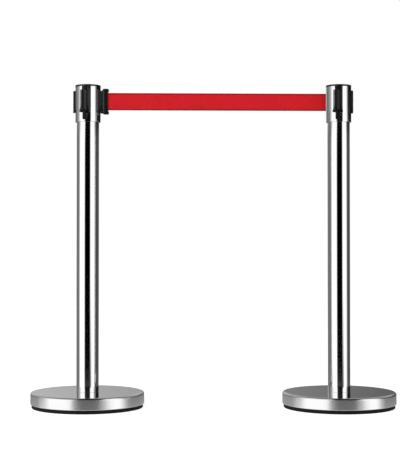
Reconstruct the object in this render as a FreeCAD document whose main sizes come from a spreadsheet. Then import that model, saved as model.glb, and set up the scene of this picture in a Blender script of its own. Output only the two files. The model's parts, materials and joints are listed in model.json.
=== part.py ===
"""A pair of retractable belt stanchions, joined by the belt of the right one.

Millimetres, +Z up.  The origin is on the floor, midway between the two posts; +X points from the left
post to the right one.  Each piece is modelled in the frame of its own post, whose axis is Z and whose
belt mouth faces -X, and is then placed.  A belt clip is modelled in the frame of the post that it
hooks on to, reaching out along +X, with the belt leaving it along +X.  Both posts stand turned a little
about their axes, so the belt bends slightly where it leaves the mouth and where it enters the clip.
"""
import FreeCAD, Part
import Sketcher
import math
import os
import re

SIZES = {
    # the pair
    "post_spacing": 710,
    "post_turn": 10,
    # how far a cutting tool runs past the face that it cuts
    "cut_margin": 1,
    # base
    "base_radius": 160,
    "cover_top": 43.5,
    "cover_bottom": 10.5,
    "cover_sheet": 1.0,
    "cover_round": 5.0,
    "hem_depth": 3.4,
    "cover_hole_radius": 9,
    "ring_inner_radius": 143,
    "ring_outer_radius": 156.5,
    "ring_height": 10,
    "ring_edge": 1.5,
    "weight_radius": 158.6,
    "weight_top": 42.4,
    "weight_foot_radius": 156,
    "weight_foot_top": 12,
    "weight_dish_radius": 138,
    "weight_dish_top": 28,
    "weight_edge": 6,
    "boss_radius": 28,
    "boss_bottom": 20,
    # post
    "tube_radius": 31.5,
    "tube_wall": 1.0,
    "tube_top": 816,
    "fit_gap": 0.2,
    "foot_height": 14.5,
    "foot_edge": 2,
    # tie rod and its fixings
    "rod_radius": 4,
    "rod_bottom": 9.5,
    "rod_top": 814,
    "rod_edge": 1,
    "nut_across_flats": 13,
    "nut_height": 6.5,
    "washer_radius": 10,
    "washer_height": 1.6,
    # head
    "head_radius": 35.65,
    "sleeve_wall": 1.0,
    "head_bottom": 804,
    "head_top": 903,
    "core_radius": 34.5,
    "core_bottom": 776,
    "core_web_bottom": 796,
    "core_web_top": 804,
    "core_plug_bore": 26,
    "well_radius": 14,
    "cavity_radius": 29,
    "cavity_floor": 820,
    # receivers and their windows
    "window_half_width": 13,
    "window_bottom": 829,
    "tail_half_width": 6.5,
    "tail_bottom": 810,
    "pocket_radius": 32.9,
    "plate_gap": 0.1,
    "block_bottom": 833.5,
    "block_top": 892.6,
    "block_reach": 41.0,
    "block_bevel": 1.2,
    "lip_depth": 2.4,
    "lip_gap_half": 4.3,
    "slot_floor": 36.1,
    "slot_half_width": 7.4,
    "slot_stop": 836,
    "hook_near": 33.5,
    "hook_far": 37.2,
    "hook_width": 2.4,
    "hook_bottom": 829.5,
    "hook_top": 841,
    # belt mouth
    "mouth_half_width": 6.5,
    "mouth_bottom": 829,
    "mouth_top": 894,
    "throat_half_width": 4.5,
    "throat_margin": 3,
    "mouth_slot_half": 1.0,
    "mouth_slot_margin": 1.2,
    # top cap
    "cap_radius": 35.95,
    "cap_rim_top": 907,
    "cap_top": 910,
    "cap_round": 0.8,
    "spigot_radius": 28.8,
    "spigot_bore": 26.5,
    "spigot_bottom": 897,
    "screw_circle": 31.75,
    "screw_radius": 1.3,
    "screw_head_radius": 2.7,
    "screw_head_bottom": 905.6,
    "screw_head_height": 1.7,
    "screw_bottom": 892,
    "screw_slot": 0.8,
    # belt
    "belt_centre": 861.5,
    "belt_width": 49,
    "belt_thickness": 0.5,
    "belt_length": 2000,
    "belt_clear": 0.15,
    "path_inside": 19,
    "bend_radius": 10,
    "bend_clear": 2,
    # spool, spindle and frame
    "spindle_radius": 3,
    "spindle_head_radius": 5.5,
    "spindle_head_height": 2.1,
    "spindle_top": 893.4,
    "running_gap": 0.05,
    "arbor_radius": 5,
    "hub_radius": 8,
    "flange_radius": 22,
    "flange_thickness": 1.0,
    "flange_gap": 0.3,
    "frame_gap": 0.4,
    "frame_plate": 1.2,
    "frame_radius": 28.5,
    "frame_wall": 1.2,
    "small_nut_across_flats": 10,
    "small_nut_height": 3,
    # spring
    "cup_bottom": 820.3,
    "cup_radius": 27.8,
    "cup_wall": 1.0,
    "cup_floor": 1.2,
    "spring_width": 11,
    "spring_strip": 0.4,
    "spring_start": 5.7,
    "spring_turns": 10,
    "spring_pitch": 2.0,
    # guide roller
    "roller_radius": 2.2,
    "roller_out": 25.5,
    "journal_radius": 1.2,
    # clip
    "clip_near": 41.8,
    "clip_far": 60.3,
    "clip_shoulder": 48.5,
    "clip_half_height": 36,
    "clip_neck_half_height": 29,
    "clip_half_depth": 7.5,
    "clip_far_half_depth": 5.4,
    "clip_round": 1.3,
    "clip_split": 46,
    "clip_slot_half": 0.7,
    "clip_slot_margin": 0.8,
    "clip_slot_start": 49,
    "tongue_near": 36.45,
    "tongue_neck": 38.25,
    "tongue_half_width": 7.1,
    "tongue_neck_half": 4.0,
    "tongue_bottom": 836.3,
    "tongue_top": 887,
    "pin_out": 51.5,
    "pin_radius": 1.5,
    "pin_half_height": 28.5,
    "tape_end": 53.3,
    "clip_screw_out": 54,
    "clip_screw_lift": 31,
    "clip_screw_radius": 1.1,
    "clip_screw_head": 2.2,
    "clip_screw_sink": 1.4,
    "clip_screw_length": 9,
    # the parked clip of the left post
    "park_out": 97.1,
}

doc = FreeCAD.newDocument("belt_stanchions")
sheet = doc.addObject("Spreadsheet::Sheet", "Sizes")
for row, (word, value) in enumerate(SIZES.items(), 1):
    sheet.set(f"A{row}", word)
    sheet.set(f"B{row}", str(value))
    sheet.setAlias(f"B{row}", word)
doc.recompute()

probe = doc.addObject("App::FeaturePython", "Probe")
probe.addProperty("App::PropertyFloat", "value")
pieces = []


def size(word):
    """The sheet's number for one size."""
    return float(sheet.get(word))


def formula(text):
    """A formula whose size names point at the sheet."""
    return re.sub(r"[a-z]\w+", lambda m: f"Sizes.{m.group()}" if m.group() in SIZES else m.group(), text)


def number(text):
    """The present value of a formula, worked out by the document."""
    probe.setExpression("value", formula(text))
    probe.recompute()
    return probe.value


# ---------------------------------------------------------------- sketches and features


def new_sketch(body, role, height="0"):
    """A sketch on one of the body's origin planes, lifted along its normal."""
    sketch = body.newObject("Sketcher::SketchObject", body.Name + "_sketch")
    plane = [item for item in body.Origin.OriginFeatures if item.Role == role][0]
    sketch.AttachmentSupport = [(plane, "")]
    sketch.MapMode = "FlatFace"
    sketch.setExpression("AttachmentOffset.Base.z", formula(height))
    return sketch


def bind(sketch, kind, places, text):
    """Add a dimension and tie it to a formula."""
    index = sketch.addConstraint(Sketcher.Constraint(kind, *places, number(text)))
    sketch.setExpression(f"Constraints[{index}]", formula(text))


def place_point(sketch, edge, end, x, y):
    """Hold one end or the centre of an edge at (x, y), both formulas."""
    bind(sketch, "DistanceX", (-1, 1, edge, end), x)
    bind(sketch, "DistanceY", (-1, 1, edge, end), y)


def outline(sketch, corners):
    """A closed chain of straight edges through corners, each a pair of formulas."""
    count = len(corners)
    first = sketch.GeometryCount
    points = [FreeCAD.Vector(number(x), number(y), 0) for x, y in corners]
    for i in range(count):
        sketch.addGeometry(Part.LineSegment(points[i], points[(i + 1) % count]), False)
    for i in range(count):
        sketch.addConstraint(Sketcher.Constraint("Coincident", first + i, 2, first + (i + 1) % count, 1))
    for i, (x, y) in enumerate(corners):
        place_point(sketch, first + i, 1, x, y)


def circle(sketch, radius, x="0", y="0"):
    middle = FreeCAD.Vector(number(x), number(y), 0)
    index = sketch.addGeometry(Part.Circle(middle, FreeCAD.Vector(0, 0, 1), number(radius)), False)
    place_point(sketch, index, 3, x, y)
    bind(sketch, "Radius", (index,), radius)


def turned(name, corners):
    """A body turned about Z from a half section of (radius, height) corners."""
    body = doc.addObject("PartDesign::Body", name)
    sketch = new_sketch(body, "XZ_Plane")
    outline(sketch, corners)
    turn = body.newObject("PartDesign::Revolution", name + "_turn")
    turn.Profile = sketch
    turn.ReferenceAxis = (sketch, ["V_Axis"])
    turn.Angle = 360
    return body


def ring_pad(body, inner, outer, bottom, top, x="0", y="0"):
    """A disc or ring between two heights, added to a body."""
    sketch = new_sketch(body, "XY_Plane", bottom)
    circle(sketch, outer, x, y)
    if inner:
        circle(sketch, inner, x, y)
    pad = body.newObject("PartDesign::Pad", body.Name + "_pad")
    pad.Profile = sketch
    pad.setExpression("Length", formula(f"({top}) - ({bottom})"))
    return pad


def fillet(body, radius, wanted):
    """Round the body's edges for which wanted(edge) is true."""
    doc.recompute()
    names = [f"Edge{i}" for i, edge in enumerate(body.Shape.Edges, 1) if wanted(edge)]
    rounding = body.newObject("PartDesign::Fillet", body.Name + "_round")
    rounding.Base = (body.Tip if body.Tip != rounding else rounding.BaseFeature, names)
    rounding.setExpression("Radius", formula(radius))
    return rounding


# ---------------------------------------------------------------- primitives and booleans


def box(name, low, high):
    """A box between two corners, each three formulas."""
    shape = doc.addObject("Part::Box", name)
    for side, axis, a, b in zip(("Length", "Width", "Height"), "xyz", low, high):
        shape.setExpression(side, formula(f"({b}) - ({a})"))
        shape.setExpression(f"Placement.Base.{axis}", formula(a))
    return shape


def rod(name, radius, bottom, top, x="0", y="0"):
    """An upright cylinder between two heights."""
    shape = doc.addObject("Part::Cylinder", name)
    shape.setExpression("Radius", formula(radius))
    shape.setExpression("Height", formula(f"({top}) - ({bottom})"))
    shape.setExpression("Placement.Base.x", formula(x))
    shape.setExpression("Placement.Base.y", formula(y))
    shape.setExpression("Placement.Base.z", formula(bottom))
    return shape


def cross_rod(name, radius, x, y, z, length):
    """A cylinder that runs along -Y from (x, y, z)."""
    shape = doc.addObject("Part::Cylinder", name)
    shape.setExpression("Radius", formula(radius))
    shape.setExpression("Height", formula(length))
    shape.Placement = FreeCAD.Placement(FreeCAD.Vector(), FreeCAD.Rotation(FreeCAD.Vector(1, 0, 0), 90))
    for axis, place in zip("xyz", (x, y, z)):
        shape.setExpression(f"Placement.Base.{axis}", formula(place))
    return shape


def hexagon(name, across_flats, bottom, top):
    shape = doc.addObject("Part::Prism", name)
    shape.Polygon = 6
    shape.setExpression("Circumradius", formula(f"({across_flats}) / 2 / cos(30 deg)"))
    shape.setExpression("Height", formula(f"({top}) - ({bottom})"))
    shape.setExpression("Placement.Base.z", formula(bottom))
    return shape


def minus(name, base, tool):
    shape = doc.addObject("Part::Cut", name)
    shape.Base = base
    shape.Tool = tool
    return shape


def together(name, shapes):
    shape = doc.addObject("Part::MultiFuse", name)
    shape.Shapes = shapes
    return shape


def common(name, shapes):
    shape = doc.addObject("Part::MultiCommon", name)
    shape.Shapes = shapes
    return shape


def group(name, shapes):
    """Separate solids that share one node."""
    shape = doc.addObject("Part::Compound", name)
    shape.Links = shapes
    return shape


def turned_to(shape, angle):
    """The same shape, turned about the post's axis."""
    shape.Placement = FreeCAD.Placement(FreeCAD.Vector(), FreeCAD.Rotation(FreeCAD.Vector(0, 0, 1), angle))
    return shape


def put(shape, label, x, y, angle):
    """Place a finished piece and list it for export."""
    shape.Label = label
    shape.Placement = FreeCAD.Placement(FreeCAD.Vector(), FreeCAD.Rotation(FreeCAD.Vector(0, 0, 1), angle))
    shape.setExpression("Placement.Base.x", formula(x))
    shape.setExpression("Placement.Base.y", formula(y))
    pieces.append(shape)


# ---------------------------------------------------------------- base


def floor_ring(name):
    return turned(name, [
        ("ring_inner_radius + ring_edge", "0"),
        ("ring_outer_radius - ring_edge", "0"),
        ("ring_outer_radius", "ring_edge"),
        ("ring_outer_radius", "ring_height - ring_edge"),
        ("ring_outer_radius - ring_edge", "ring_height"),
        ("ring_inner_radius", "ring_height"),
        ("ring_inner_radius", "ring_edge"),
    ])


def base_weight(name):
    """A dished casting: a plate with a deep rim, stepped in for the cover's hem, and a boss for the rod."""
    return turned(name, [
        ("rod_radius + fit_gap", "boss_bottom"),
        ("boss_radius - weight_edge", "boss_bottom"),
        ("boss_radius", "weight_dish_top"),
        ("weight_dish_radius - weight_edge", "weight_dish_top"),
        ("weight_dish_radius", "weight_dish_top - weight_edge"),
        ("weight_dish_radius", "ring_height"),
        ("weight_foot_radius", "ring_height"),
        ("weight_foot_radius", "weight_foot_top"),
        ("weight_radius", "weight_foot_top"),
        ("weight_radius", "weight_top - weight_edge"),
        ("weight_radius - weight_edge", "weight_top"),
        ("rod_radius + fit_gap", "weight_top"),
    ])


def base_cover(name):
    """A pressed dish over the weight, with its hem rolled in under the rim."""
    body = turned(name, [
        ("cover_hole_radius", "cover_top - cover_sheet"),
        ("base_radius - cover_sheet", "cover_top - cover_sheet"),
        ("base_radius - cover_sheet", "cover_bottom + cover_sheet"),
        ("base_radius - hem_depth", "cover_bottom + cover_sheet"),
        ("base_radius - hem_depth", "cover_bottom"),
        ("base_radius", "cover_bottom"),
        ("base_radius", "cover_top"),
        ("cover_hole_radius", "cover_top"),
    ])
    rim = 2 * math.pi * size("base_radius")
    fillet(body, "cover_round",
           lambda edge: abs(edge.Length - rim) < 0.1 and abs(edge.CenterOfMass.z - size("cover_top")) < 0.1)
    inner = 2 * math.pi * (size("base_radius") - size("cover_sheet"))
    under = size("cover_top") - size("cover_sheet")
    fillet(body, "cover_round - cover_sheet",
           lambda edge: abs(edge.Length - inner) < 0.1 and abs(edge.CenterOfMass.z - under) < 0.1)
    return body


def foot_spigot(name):
    """The turned plug that centres the foot of the tube on the base."""
    return turned(name, [
        ("rod_radius + fit_gap", "cover_top"),
        ("tube_radius - tube_wall - fit_gap", "cover_top"),
        ("tube_radius - tube_wall - fit_gap", "cover_top + foot_height - foot_edge"),
        ("tube_radius - tube_wall - fit_gap - foot_edge", "cover_top + foot_height"),
        ("rod_radius + fit_gap", "cover_top + foot_height"),
    ])


# ---------------------------------------------------------------- post


def tube(name):
    body = doc.addObject("PartDesign::Body", name)
    ring_pad(body, "tube_radius - tube_wall", "tube_radius", "cover_top", "tube_top")
    return body


def tie_rod(name):
    return turned(name, [
        ("0", "rod_bottom"),
        ("rod_radius - rod_edge", "rod_bottom"),
        ("rod_radius", "rod_bottom + rod_edge"),
        ("rod_radius", "rod_top - rod_edge"),
        ("rod_radius - rod_edge", "rod_top"),
        ("0", "rod_top"),
    ])


def nut(name, across_flats, bore, bottom, top):
    return minus(name, hexagon(name + "_hexagon", across_flats, bottom, top),
                 rod(name + "_bore", bore, bottom, top))


def tie_rod_nuts(name):
    low = "boss_bottom - washer_height"
    high = "core_web_top + washer_height"
    return group(name, [
        nut(name + "_low", "nut_across_flats", "rod_radius", f"{low} - nut_height", low),
        nut(name + "_high", "nut_across_flats", "rod_radius", high, f"{high} + nut_height"),
    ])


def tie_rod_washers(name):
    rings = []
    for place, bottom in (("low", "boss_bottom - washer_height"), ("high", "core_web_top")):
        top = f"{bottom} + washer_height"
        rings.append(minus(f"{name}_{place}", rod(f"{name}_{place}_disc", "washer_radius", bottom, top),
                           rod(f"{name}_{place}_bore", "rod_radius + fit_gap", bottom, top)))
    return group(name, rings)


# ---------------------------------------------------------------- head


def window_tool(name, gap, angle, inner="pocket_radius"):
    """The space of a receiver's plate and tail, from inner radius outwards, larger by gap all round."""
    far = "block_reach + 2 * window_half_width"
    wide = box(name + "_wide", ("tube_wall", f"-window_half_width - ({gap})", f"window_bottom - ({gap})"),
               (far, f"window_half_width + ({gap})", "cap_top"))
    tail = box(name + "_tail", ("tube_wall", f"-tail_half_width - ({gap})", "tail_bottom + tail_half_width"),
               (far, f"tail_half_width + ({gap})", "window_bottom + cut_margin"))
    end = doc.addObject("Part::Cylinder", name + "_end")
    end.Placement = FreeCAD.Placement(FreeCAD.Vector(), FreeCAD.Rotation(FreeCAD.Vector(0, 1, 0), 90))
    end.setExpression("Radius", formula(f"tail_half_width + ({gap})"))
    end.setExpression("Height", formula(f"{far} - tube_wall"))
    end.setExpression("Placement.Base.x", formula("tube_wall"))
    end.setExpression("Placement.Base.z", formula("tail_bottom + tail_half_width"))
    outside = together(name + "_outline", [wide, tail, end])
    tool = minus(name, outside, rod(name + "_inside", inner, "core_bottom", "cap_top"))
    return turned_to(tool, angle)


def mouth_tool(name, gap, inner="pocket_radius"):
    """The space of the belt mouth's plate, which faces -X."""
    block = box(name + "_block", ("-head_radius - mouth_half_width", f"-mouth_half_width - ({gap})",
                                  f"mouth_bottom - ({gap})"),
                ("0", f"mouth_half_width + ({gap})", f"mouth_top + ({gap})"))
    return minus(name, block, rod(name + "_inside", inner, "core_bottom", "cap_top"))


def throat_tool(name, gap, inner_end):
    """The passage of the belt mouth through the wall of the core, as far in as inner_end."""
    return box(name, ("-pocket_radius - plate_gap", f"-throat_half_width - ({gap})",
                      f"belt_centre - belt_width / 2 - throat_margin - ({gap})"),
               (inner_end, f"throat_half_width + ({gap})",
                f"belt_centre + belt_width / 2 + throat_margin + ({gap})"))


def screw_places():
    """Names and places of the four cap screws, between the windows."""
    for place, (x, y) in enumerate(((1, 1), (-1, 1), (-1, -1), (1, -1)), 1):
        yield place, f"{x} * screw_circle / sqrt(2)", f"{y} * screw_circle / sqrt(2)"


def head_core(name):
    """The moulded core: a plug in the tube, a skirt round it, and the cavity of the belt cassette."""
    solid = turned(name + "_solid", [
        ("rod_radius + fit_gap", "core_web_bottom"),
        ("core_plug_bore", "core_web_bottom"),
        ("core_plug_bore", "core_bottom"),
        ("tube_radius - tube_wall - fit_gap", "core_bottom"),
        ("tube_radius - tube_wall - fit_gap", "tube_top + fit_gap"),
        ("tube_radius + fit_gap", "tube_top + fit_gap"),
        ("tube_radius + fit_gap", "head_bottom + fit_gap"),
        ("core_radius", "head_bottom + fit_gap"),
        ("core_radius", "head_top"),
        ("cavity_radius", "head_top"),
        ("cavity_radius", "cavity_floor"),
        ("well_radius", "cavity_floor"),
        ("well_radius", "core_web_top"),
        ("rod_radius + fit_gap", "core_web_top"),
    ])
    tools = [window_tool(f"{name}_window_{angle + 90}", "0", angle) for angle in (-90, 0, 90)]
    tools.append(mouth_tool(name + "_mouth", "0"))
    tools.append(throat_tool(name + "_throat", "0", "-cavity_radius + cut_margin"))
    for place, x, y in screw_places():
        tools.append(rod(f"{name}_pilot_{place}", "screw_radius", "screw_bottom - fit_gap", "head_top", x, y))
    return minus(name, solid, together(name + "_openings", tools))


def head_sleeve(name):
    solid = doc.addObject("PartDesign::Body", name + "_ring")
    ring_pad(solid, "head_radius - sleeve_wall", "head_radius", "head_bottom", "head_top")
    tools = [window_tool(f"{name}_window_{angle + 90}", "0", angle) for angle in (-90, 0, 90)]
    tools.append(mouth_tool(name + "_mouth", "0"))
    return minus(name, solid, together(name + "_openings", tools))


def receiver(name):
    """A curved plate in its window, a block with a T slot that is open at the top, and two small hooks."""
    plate = common(name + "_plate", [
        window_tool(name + "_window", "-plate_gap", 0, "pocket_radius + plate_gap"),
        rod(name + "_outside", "head_radius", "tail_bottom", "head_top - plate_gap"),
    ])
    edge = "window_half_width - plate_gap"
    block = box(name + "_block", ("pocket_radius + plate_gap", f"-({edge})", "block_bottom"),
                ("block_reach", edge, "block_top"))
    bevelled = doc.addObject("Part::Chamfer", name + "_bevel")
    bevelled.Base = block
    doc.recompute()
    reach = size("block_reach")
    bevel = size("block_bevel")
    bevelled.Edges = [(i, bevel, bevel) for i, item in enumerate(block.Shape.Edges, 1)
                      if abs(item.CenterOfMass.x - reach) < 0.01]
    head_gap = box(name + "_slot", ("slot_floor", "-slot_half_width", "slot_stop"),
                   ("block_reach - lip_depth", "slot_half_width", "cap_top"))
    neck_gap = box(name + "_neck", ("slot_floor", "-lip_gap_half", "slot_stop"),
                   ("block_reach + lip_depth", "lip_gap_half", "cap_top"))
    slotted = minus(name + "_slotted", bevelled, together(name + "_tee", [head_gap, neck_gap]))
    hooks = [box(f"{name}_hook_{i}", ("hook_near", low, "hook_bottom"), ("hook_far", high, "hook_top"))
             for i, (low, high) in enumerate(((edge, "window_half_width + hook_width"),
                                              ("-window_half_width - hook_width", f"-({edge})")))]
    return together(name, [plate, slotted] + hooks)


def outlet_bezel(name):
    """The belt mouth: a curved plate, a throat through the core, and the slot for the belt."""
    plate = common(name + "_plate", [
        mouth_tool(name + "_block", "-plate_gap", "pocket_radius + plate_gap"),
        rod(name + "_outside", "head_radius", "mouth_bottom", "mouth_top"),
    ])
    throat = throat_tool(name + "_throat", "-plate_gap", "-frame_radius - frame_gap")
    margin = "belt_width / 2 + mouth_slot_margin"
    slot = box(name + "_slot", ("-block_reach", "-mouth_slot_half", f"belt_centre - ({margin})"),
               ("0", "mouth_slot_half", f"belt_centre + {margin}"))
    return minus(name, together(name + "_solid", [plate, throat]), slot)


def top_cap(name):
    """A black cap with a shallow dome, a spigot into the core and four screw holes."""
    body = doc.addObject("PartDesign::Body", name + "_solid")
    sketch = new_sketch(body, "XZ_Plane")
    corners = [("0", "head_top"), ("spigot_bore", "head_top"), ("spigot_bore", "spigot_bottom"),
               ("spigot_radius", "spigot_bottom"), ("spigot_radius", "head_top"),
               ("cap_radius", "head_top"), ("cap_radius", "cap_rim_top"), ("0", "cap_top")]
    outline(sketch, corners)
    turn = body.newObject("PartDesign::Revolution", name + "_turn")
    turn.Profile = sketch
    turn.ReferenceAxis = (sketch, ["V_Axis"])
    turn.Angle = 360
    rim = 2 * math.pi * size("cap_radius")
    fillet(body, "cap_round",
           lambda edge: abs(edge.Length - rim) < 0.1 and edge.CenterOfMass.z > size("head_top") + 0.1)
    holes = []
    for place, x, y in screw_places():
        holes.append(rod(f"{name}_hole_{place}", "screw_radius + fit_gap", "spigot_bottom", "cap_top", x, y))
        holes.append(rod(f"{name}_sink_{place}", "screw_head_radius + fit_gap", "screw_head_bottom",
                         "cap_top", x, y))
    return minus(name, body, together(name + "_holes", holes))


def cap_screws(name):
    screws = []
    for place, x, y in screw_places():
        one = f"{name}_{place}"
        head_top = "screw_head_bottom + screw_head_height"
        head = rod(one + "_head", "screw_head_radius", "screw_head_bottom", head_top, x, y)
        shank = rod(one + "_shank", "screw_radius", "screw_bottom", "screw_head_bottom", x, y)
        slot = box(one + "_slot",
                   (f"{x} - 2 * screw_head_radius", f"{y} - screw_slot / 2", f"{head_top} - screw_slot"),
                   (f"{x} + 2 * screw_head_radius", f"{y} + screw_slot / 2", head_top))
        screws.append(minus(one, together(one + "_solid", [head, shank]), slot))
    return group(name, screws)


# ---------------------------------------------------------------- belt cassette

FLANGE_LOW = "belt_centre - belt_width / 2 - flange_gap"
FLANGE_HIGH = "belt_centre + belt_width / 2 + flange_gap"
PLATE_LOW = f"{FLANGE_LOW} - flange_thickness - frame_gap"
PLATE_HIGH = f"{FLANGE_HIGH} + flange_thickness + frame_gap"
ROLLER_SIDE = "roller_radius + belt_clear + belt_thickness / 2"


def cassette_frame(name):
    """Two round plates held apart by a curved back wall; they carry the spindle and the roller."""
    low = rod(name + "_low", "frame_radius", f"{PLATE_LOW} - frame_plate", PLATE_LOW)
    high = rod(name + "_high", "frame_radius", PLATE_HIGH, f"{PLATE_HIGH} + frame_plate")
    wall = minus(name + "_wall", rod(name + "_round", "frame_radius", PLATE_LOW, PLATE_HIGH),
                 rod(name + "_space", "frame_radius - frame_wall", PLATE_LOW, PLATE_HIGH))
    back = common(name + "_back", [
        wall,
        box(name + "_behind", ("frame_radius / 3", "-frame_radius", PLATE_LOW),
            ("frame_radius + cut_margin", "frame_radius", PLATE_HIGH)),
    ])
    arbor_hole = rod(name + "_arbor", "arbor_radius + frame_gap", f"{PLATE_LOW} - 2 * frame_plate", PLATE_LOW)
    spindle_hole = rod(name + "_spindle", "spindle_radius", PLATE_HIGH, f"{PLATE_HIGH} + frame_plate")
    journal = rod(name + "_journal", "journal_radius + running_gap", f"{PLATE_LOW} - 2 * frame_plate",
                  f"{PLATE_HIGH} + 2 * frame_plate", "-roller_out", ROLLER_SIDE)
    return minus(name, together(name + "_solid", [low, high, back]),
                 together(name + "_holes", [arbor_hole, spindle_hole, journal]))


def spring_cup(name):
    top = f"{PLATE_LOW} - frame_plate - running_gap"
    return turned(name, [
        ("spindle_radius", "cup_bottom"),
        ("cup_radius", "cup_bottom"),
        ("cup_radius", top),
        ("cup_radius - cup_wall", top),
        ("cup_radius - cup_wall", "cup_bottom + cup_floor"),
        ("spindle_radius", "cup_bottom + cup_floor"),
    ])


def power_spring(name):
    """A flat strip wound in a spiral, from the arbor out to the wall of the cup."""
    body = doc.addObject("PartDesign::Body", name)
    sketch = new_sketch(body, "XZ_Plane")
    low = "cup_bottom + cup_floor + frame_gap"
    outline(sketch, [
        ("spring_start", low),
        ("spring_start + spring_strip", low),
        ("spring_start + spring_strip", f"{low} + spring_width"),
        ("spring_start", f"{low} + spring_width"),
    ])
    coil = body.newObject("PartDesign::AdditiveHelix", name + "_coil")
    coil.Profile = sketch
    coil.ReferenceAxis = (sketch, ["V_Axis"])
    coil.Mode = "height-turns-growth"
    coil.Height = 0
    coil.setExpression("Turns", formula("spring_turns"))
    coil.setExpression("Growth", formula("spring_pitch"))
    return body


def spool(name):
    """Hub with two flanges, and the arbor that reaches down into the spring."""
    return turned(name, [
        ("spindle_radius + running_gap", "cup_bottom + cup_floor + frame_gap"),
        ("arbor_radius", "cup_bottom + cup_floor + frame_gap"),
        ("arbor_radius", f"{FLANGE_LOW} - flange_thickness"),
        ("flange_radius", f"{FLANGE_LOW} - flange_thickness"),
        ("flange_radius", FLANGE_LOW),
        ("hub_radius", FLANGE_LOW),
        ("hub_radius", FLANGE_HIGH),
        ("flange_radius", FLANGE_HIGH),
        ("flange_radius", f"{FLANGE_HIGH} + flange_thickness"),
        ("spindle_radius + running_gap", f"{FLANGE_HIGH} + flange_thickness"),
    ])


def spindle(name):
    return turned(name, [
        ("0", "cup_bottom - spindle_head_height"),
        ("spindle_head_radius", "cup_bottom - spindle_head_height"),
        ("spindle_head_radius", "cup_bottom"),
        ("spindle_radius", "cup_bottom"),
        ("spindle_radius", "spindle_top"),
        ("0", "spindle_top"),
    ])


def spindle_nut(name):
    bottom = f"{PLATE_HIGH} + frame_plate"
    return nut(name, "small_nut_across_flats", "spindle_radius", bottom, f"{bottom} + small_nut_height")


def guide_roller(name):
    body = doc.addObject("PartDesign::Body", name)
    side = ROLLER_SIDE
    ring_pad(body, None, "journal_radius", f"{PLATE_LOW} - frame_plate", f"{PLATE_HIGH} + frame_plate",
             "-roller_out", side)
    ring_pad(body, None, "roller_radius", f"{PLATE_LOW} + frame_gap", f"{PLATE_HIGH} - frame_gap",
             "-roller_out", side)
    return body


def roll_radius(reach):
    """Formula for the radius of the belt still on the spool, when it reaches out so far."""
    rest = f"belt_length - (({reach}) - roller_out + path_inside)"
    return f"sqrt(hub_radius ^ 2 + ({rest}) * belt_thickness / pi)"


def belt_roll(name, reach):
    body = doc.addObject("PartDesign::Body", name)
    ring_pad(body, "hub_radius", roll_radius(reach), "belt_centre - belt_width / 2",
             "belt_centre + belt_width / 2")
    return body


def chain(sketch, edges, first):
    """Add edges that follow each other smoothly from the point first; returns their numbers."""
    numbers = []
    here = first
    last = None
    for edge in edges:
        index = sketch.addGeometry(edge, False)
        near = 1 if sketch.Geometry[index].StartPoint.distanceToPoint(here) < 0.001 else 2
        if last:
            sketch.addConstraint(Sketcher.Constraint("Tangent", last[0], last[1], index, near))
        last = (index, 3 - near)
        shape = sketch.Geometry[index]
        here = shape.EndPoint if near == 1 else shape.StartPoint
        numbers.append(index)
    return numbers


def arc_about(centre, radius, one, two):
    """The anticlockwise arc about centre between the directions of two points."""
    angles = [math.atan2(point.y - centre.y, point.x - centre.x) for point in (one, two)]
    return Part.ArcOfCircle(Part.Circle(centre, FreeCAD.Vector(0, 0, 1), radius), *angles)


def roller_end(reach):
    """The last three edges of the belt's middle line: the turn under the roller, and on to the drum."""
    wrap = number(ROLLER_SIDE)
    around = number(f"{roll_radius(reach)} + belt_clear + belt_thickness / 2")
    centre = FreeCAD.Vector(-size("roller_out"), wrap, 0)
    lean = math.atan2(centre.y, centre.x) - math.acos((around + wrap) / centre.Length)
    out = FreeCAD.Vector(math.cos(lean), math.sin(lean), 0)
    turn = FreeCAD.Vector(centre.x, 0, 0)
    meet = centre - out * wrap
    return turn, [arc_about(centre, wrap, turn, meet), Part.LineSegment(meet, out * around)], around


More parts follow.
